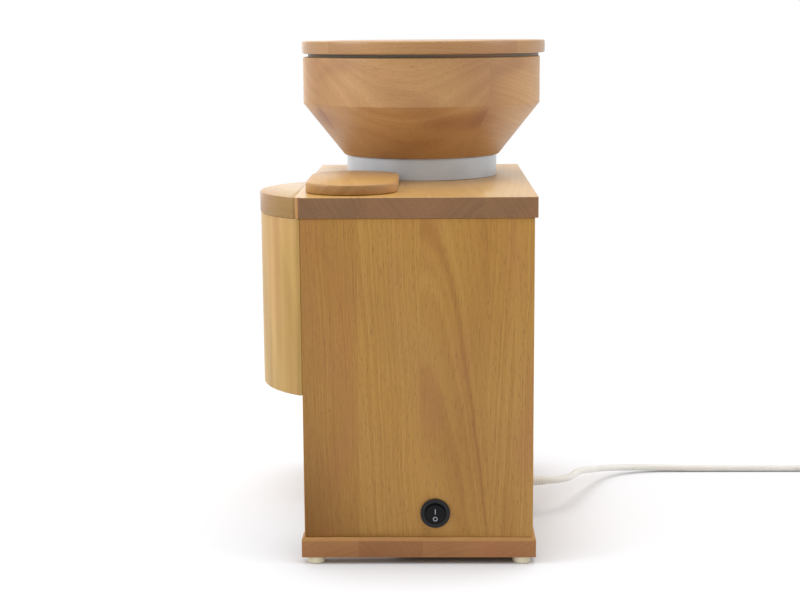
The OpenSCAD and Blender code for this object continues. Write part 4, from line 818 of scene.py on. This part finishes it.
def gripRibs(sizes):
    # bars across the plug's two flat faces
    tree, out = newTree("plug_grip", sizes)
    row = pointRow(tree, out, 0)
    soft = softSection(tree, out, "Thickness", "Length")
    plate = addNode(tree, "GeometryNodeFillCurve", {"Curve": soft}, mode="NGONS")
    down = addNode(tree, "CombineXYZ", {2: out["Low"]})
    lowered = addNode(tree, "GeometryNodeTransform", {"Geometry": plate, "Translation": down})
    upwards = addNode(tree, "CombineXYZ", {2: out["Height"]})
    pulled = {"Mesh": lowered, "Offset": upwards, "Offset Scale": 1.0, "Individual": False}
    raised = addNode(tree, "GeometryNodeExtrudeMesh", pulled)
    turnedBack = addNode(tree, "GeometryNodeFlipFaces", {"Mesh": lowered})
    whole = addNode(tree, "GeometryNodeJoinGeometry", {0: raised})
    tree.links.new(turnedBack.outputs[0], whole.inputs[0])
    closed = addNode(tree, "GeometryNodeMergeByDistance", {"Geometry": whole, "Distance": 1e-5})
    placed = addNode(tree, "GeometryNodeInstanceOnPoints", {"Points": row, "Instance": closed})
    return bakeTree(tree, placed, "leadPvc", sizes)


def makePlug(p):
    pin, aside = p["pin"], p["pin"]["gap"] / 2
    pins = spinOutline("plug_pins", pin["outline"], [(0, -aside), (0, aside)], pin["steps"])
    pins.transform(Matrix.Rotation(math.pi / 2, 4, "Y"))
    for mesh, surface in ((plugShell(p), "leadPvc"), (gripRibs(p["grip"]), "leadPvc"), (pins, "zincPlatedSteel")):
        mesh.transform(Matrix.Translation(Vector(p["start"]) * mm))
        addPiece(mesh.name, mesh, [surface], "mains_plug", replaced=mesh.name == "plug_body")


makePlug(plug)
print("stage: plug")

# crosshead screws seen from below: a head with a cross recess and a plain shank, in metres
screwSets = {
    "foot_screws": {"Head Radius": 0.0035, "Head Length": 0.0025, "Shank Radius": 0.00175, "Shank Length": 0.012,
                    "Recess": 0.0038, "Slot": 0.0009, "Head Sides": 40, "Shank Sides": 24},
    "base_screws": {"Head Radius": 0.004, "Head Length": 0.004, "Shank Radius": 0.002, "Shank Length": 0.034,
                    "Recess": 0.0044, "Slot": 0.001, "Head Sides": 40, "Shank Sides": 24},
}


def screwPlaces(node):
    # each loose shell of the node is one screw: the middle of its lowest face
    work = bmesh.new()
    work.from_mesh(nodes[node].data)
    bmesh.ops.remove_doubles(work, verts=work.verts, dist=cleaning["merge"] * mm)
    places = []
    for start in work.verts:
        shell = [] if start.tag else [start]
        start.tag = True
        for here in shell:  # grows by its neighbours
            for other in (edge.other_vert(here) for edge in here.link_edges):
                if not other.tag:
                    other.tag = True
                    shell.append(other)
        if shell:
            x, y, z = zip(*(vert.co for vert in shell))
            places.append(((min(x) + max(x)) / 2, (min(y) + max(y)) / 2, min(z)))
    work.free()
    return places


def makeScrews(node, sizes):
    tree, out = newTree(node + "_made", sizes, startsFrom="Places")
    whole, low = addNode(tree, "GeometryNodeJoinGeometry"), 0.0
    for part in ("Head", "Shank"):
        size = {"Vertices": out[part + " Sides"], "Radius": out[part + " Radius"], "Depth": out[part + " Length"]}
        solid = addNode(tree, "GeometryNodeMeshCylinder", size)
        middle = addNode(tree, "Math", {0: out[part + " Length"], 1: 0.5, 2: low}, operation="MULTIPLY_ADD")
        up = addNode(tree, "CombineXYZ", {2: middle})
        solid = addNode(tree, "GeometryNodeTransform", {"Geometry": solid, "Translation": up})
        if part == "Head":
            low = out["Head Length"]
            for wide, tall in (("Recess", "Slot"), ("Slot", "Recess")):
                box = addNode(tree, "CombineXYZ", {0: out[wide], 1: out[tall], 2: low})
                both = {"Mesh 1": solid, "Mesh 2": addNode(tree, "GeometryNodeMeshCube", {"Size": box})}
                solid = addNode(tree, "GeometryNodeMeshBoolean", both, operation="DIFFERENCE", solver="EXACT")
        tree.links.new(solid.outputs[0], whole.inputs[0])
    points = addNode(tree, "GeometryNodeMeshToPoints", {0: out["Places"]})
    placed = addNode(tree, "GeometryNodeInstanceOnPoints", {"Points": points, "Instance": whole})
    dots = bpy.data.meshes.new(node + "_places")
    dots.from_pydata(screwPlaces(node), [], [])
    addPiece(node + "_made", bakeTree(tree, placed, "zincPlatedSteel", sizes, dots), ["zincPlatedSteel"], node)


for node, sizes in screwSets.items():
    makeScrews(node, sizes)
print("stage: screws")

# white backdrop, soft lamps from the sides and above, and a pale floor that keeps the shadow
studio = {
    "worldLight": 0.56, "floorWhite": 0.5, "whiteFrom": 0.35, "whiteAt": 1.1, "underShade": 0.09, "contactShade": 0.48,
    "shadePower": 2.0, "paper": (0.9, 0.91, 0.94, 1), "aimHeight": 0.2, "floorReach": 6,
    # (place, size, power)
    "lamps": [((0.5, -1.7, 1.2), 1.2, 22), ((0.5, 1.8, 1.1), 1.2, 13), ((-0.2, 0.1, 2.1), 1.6, 26),
              ((-1.5, -0.5, 0.5), 0.7, 1.4)]}


def seenDirectly(tree):
    # 1 for what the camera sees, itself or as a reflection
    path = addNode(tree, "LightPath").outputs
    return addNode(tree, "Math", {0: path["Is Camera Ray"], 1: path["Is Glossy Ray"]}, operation="MAXIMUM")


def makeStudio(s):
    world = bpy.data.worlds.new("studio")
    scene.world = world
    tree = clearedTree(world)
    white = {"Color": (1, 1, 1, 1), "Strength": 1.0}
    dim = addNode(tree, "Background", {**white, "Strength": s["worldLight"]})
    bright = addNode(tree, "Background", white)
    mixed = addNode(tree, "MixShader", {0: seenDirectly(tree), 1: dim, 2: bright})
    addNode(tree, "OutputWorld", {0: mixed})
    material, tree = newMaterial("paperFloor")
    place = addNode(tree, "TexCoord")
    away = addNode(tree, "VectorMath", {0: place.outputs["Object"]}, operation="LENGTH")
    whiter = {"Value": away, "From Min": s["whiteFrom"], "From Max": s["whiteAt"], "To Min": s["floorWhite"]}
    fade = addNode(tree, "MapRange", whiter, interpolation_type="SMOOTHSTEP")
    around = {"Color": s["paper"], "Distance": s["underShade"]}
    openness = addNode(tree, "AmbientOcclusion", around, samples=16)
    dimmed = addNode(tree, "Math", {0: openness.outputs["AO"], 1: s["shadePower"]}, operation="POWER")
    share = addNode(tree, "Math", {0: fade, 1: dimmed}, operation="MULTIPLY")
    seen = addNode(tree, "Math", {0: seenDirectly(tree), 1: share}, operation="MULTIPLY")
    tints = {0: s["contactShade"], 6: s["paper"], 7: openness.outputs["Color"]}
    shaded = addNode(tree, "Mix", tints, data_type="RGBA")
    paper = addNode(tree, "BsdfDiffuse", {"Color": shaded})
    mixed = addNode(tree, "MixShader", {0: seen, 1: paper, 2: addNode(tree, "Emission", white)})
    addNode(tree, "OutputMaterial", {"Surface": mixed})
    reach = s["floorReach"]
    mesh = bpy.data.meshes.new("floor")
    corners = [(-reach, -reach, 0), (reach, -reach, 0), (reach, reach, 0), (-reach, reach, 0)]
    mesh.from_pydata(corners, [], [(0, 1, 2, 3)])
    mesh.materials.append(material)
    addObject("floor", mesh)
    for i, (place, size, power) in enumerate(s["lamps"]):
        lamp = bpy.data.lights.new("softbox%d" % i, "AREA")
        lamp.size, lamp.energy = size, power
        box = addObject("softbox%d" % i, lamp)
        box.location = place
        box.rotation_euler = (Vector((0, 0, s["aimHeight"])) - Vector(place)).to_track_quat("-Z", "Y").to_euler()
        box.visible_camera = False


makeStudio(studio)
print("stage: studio")
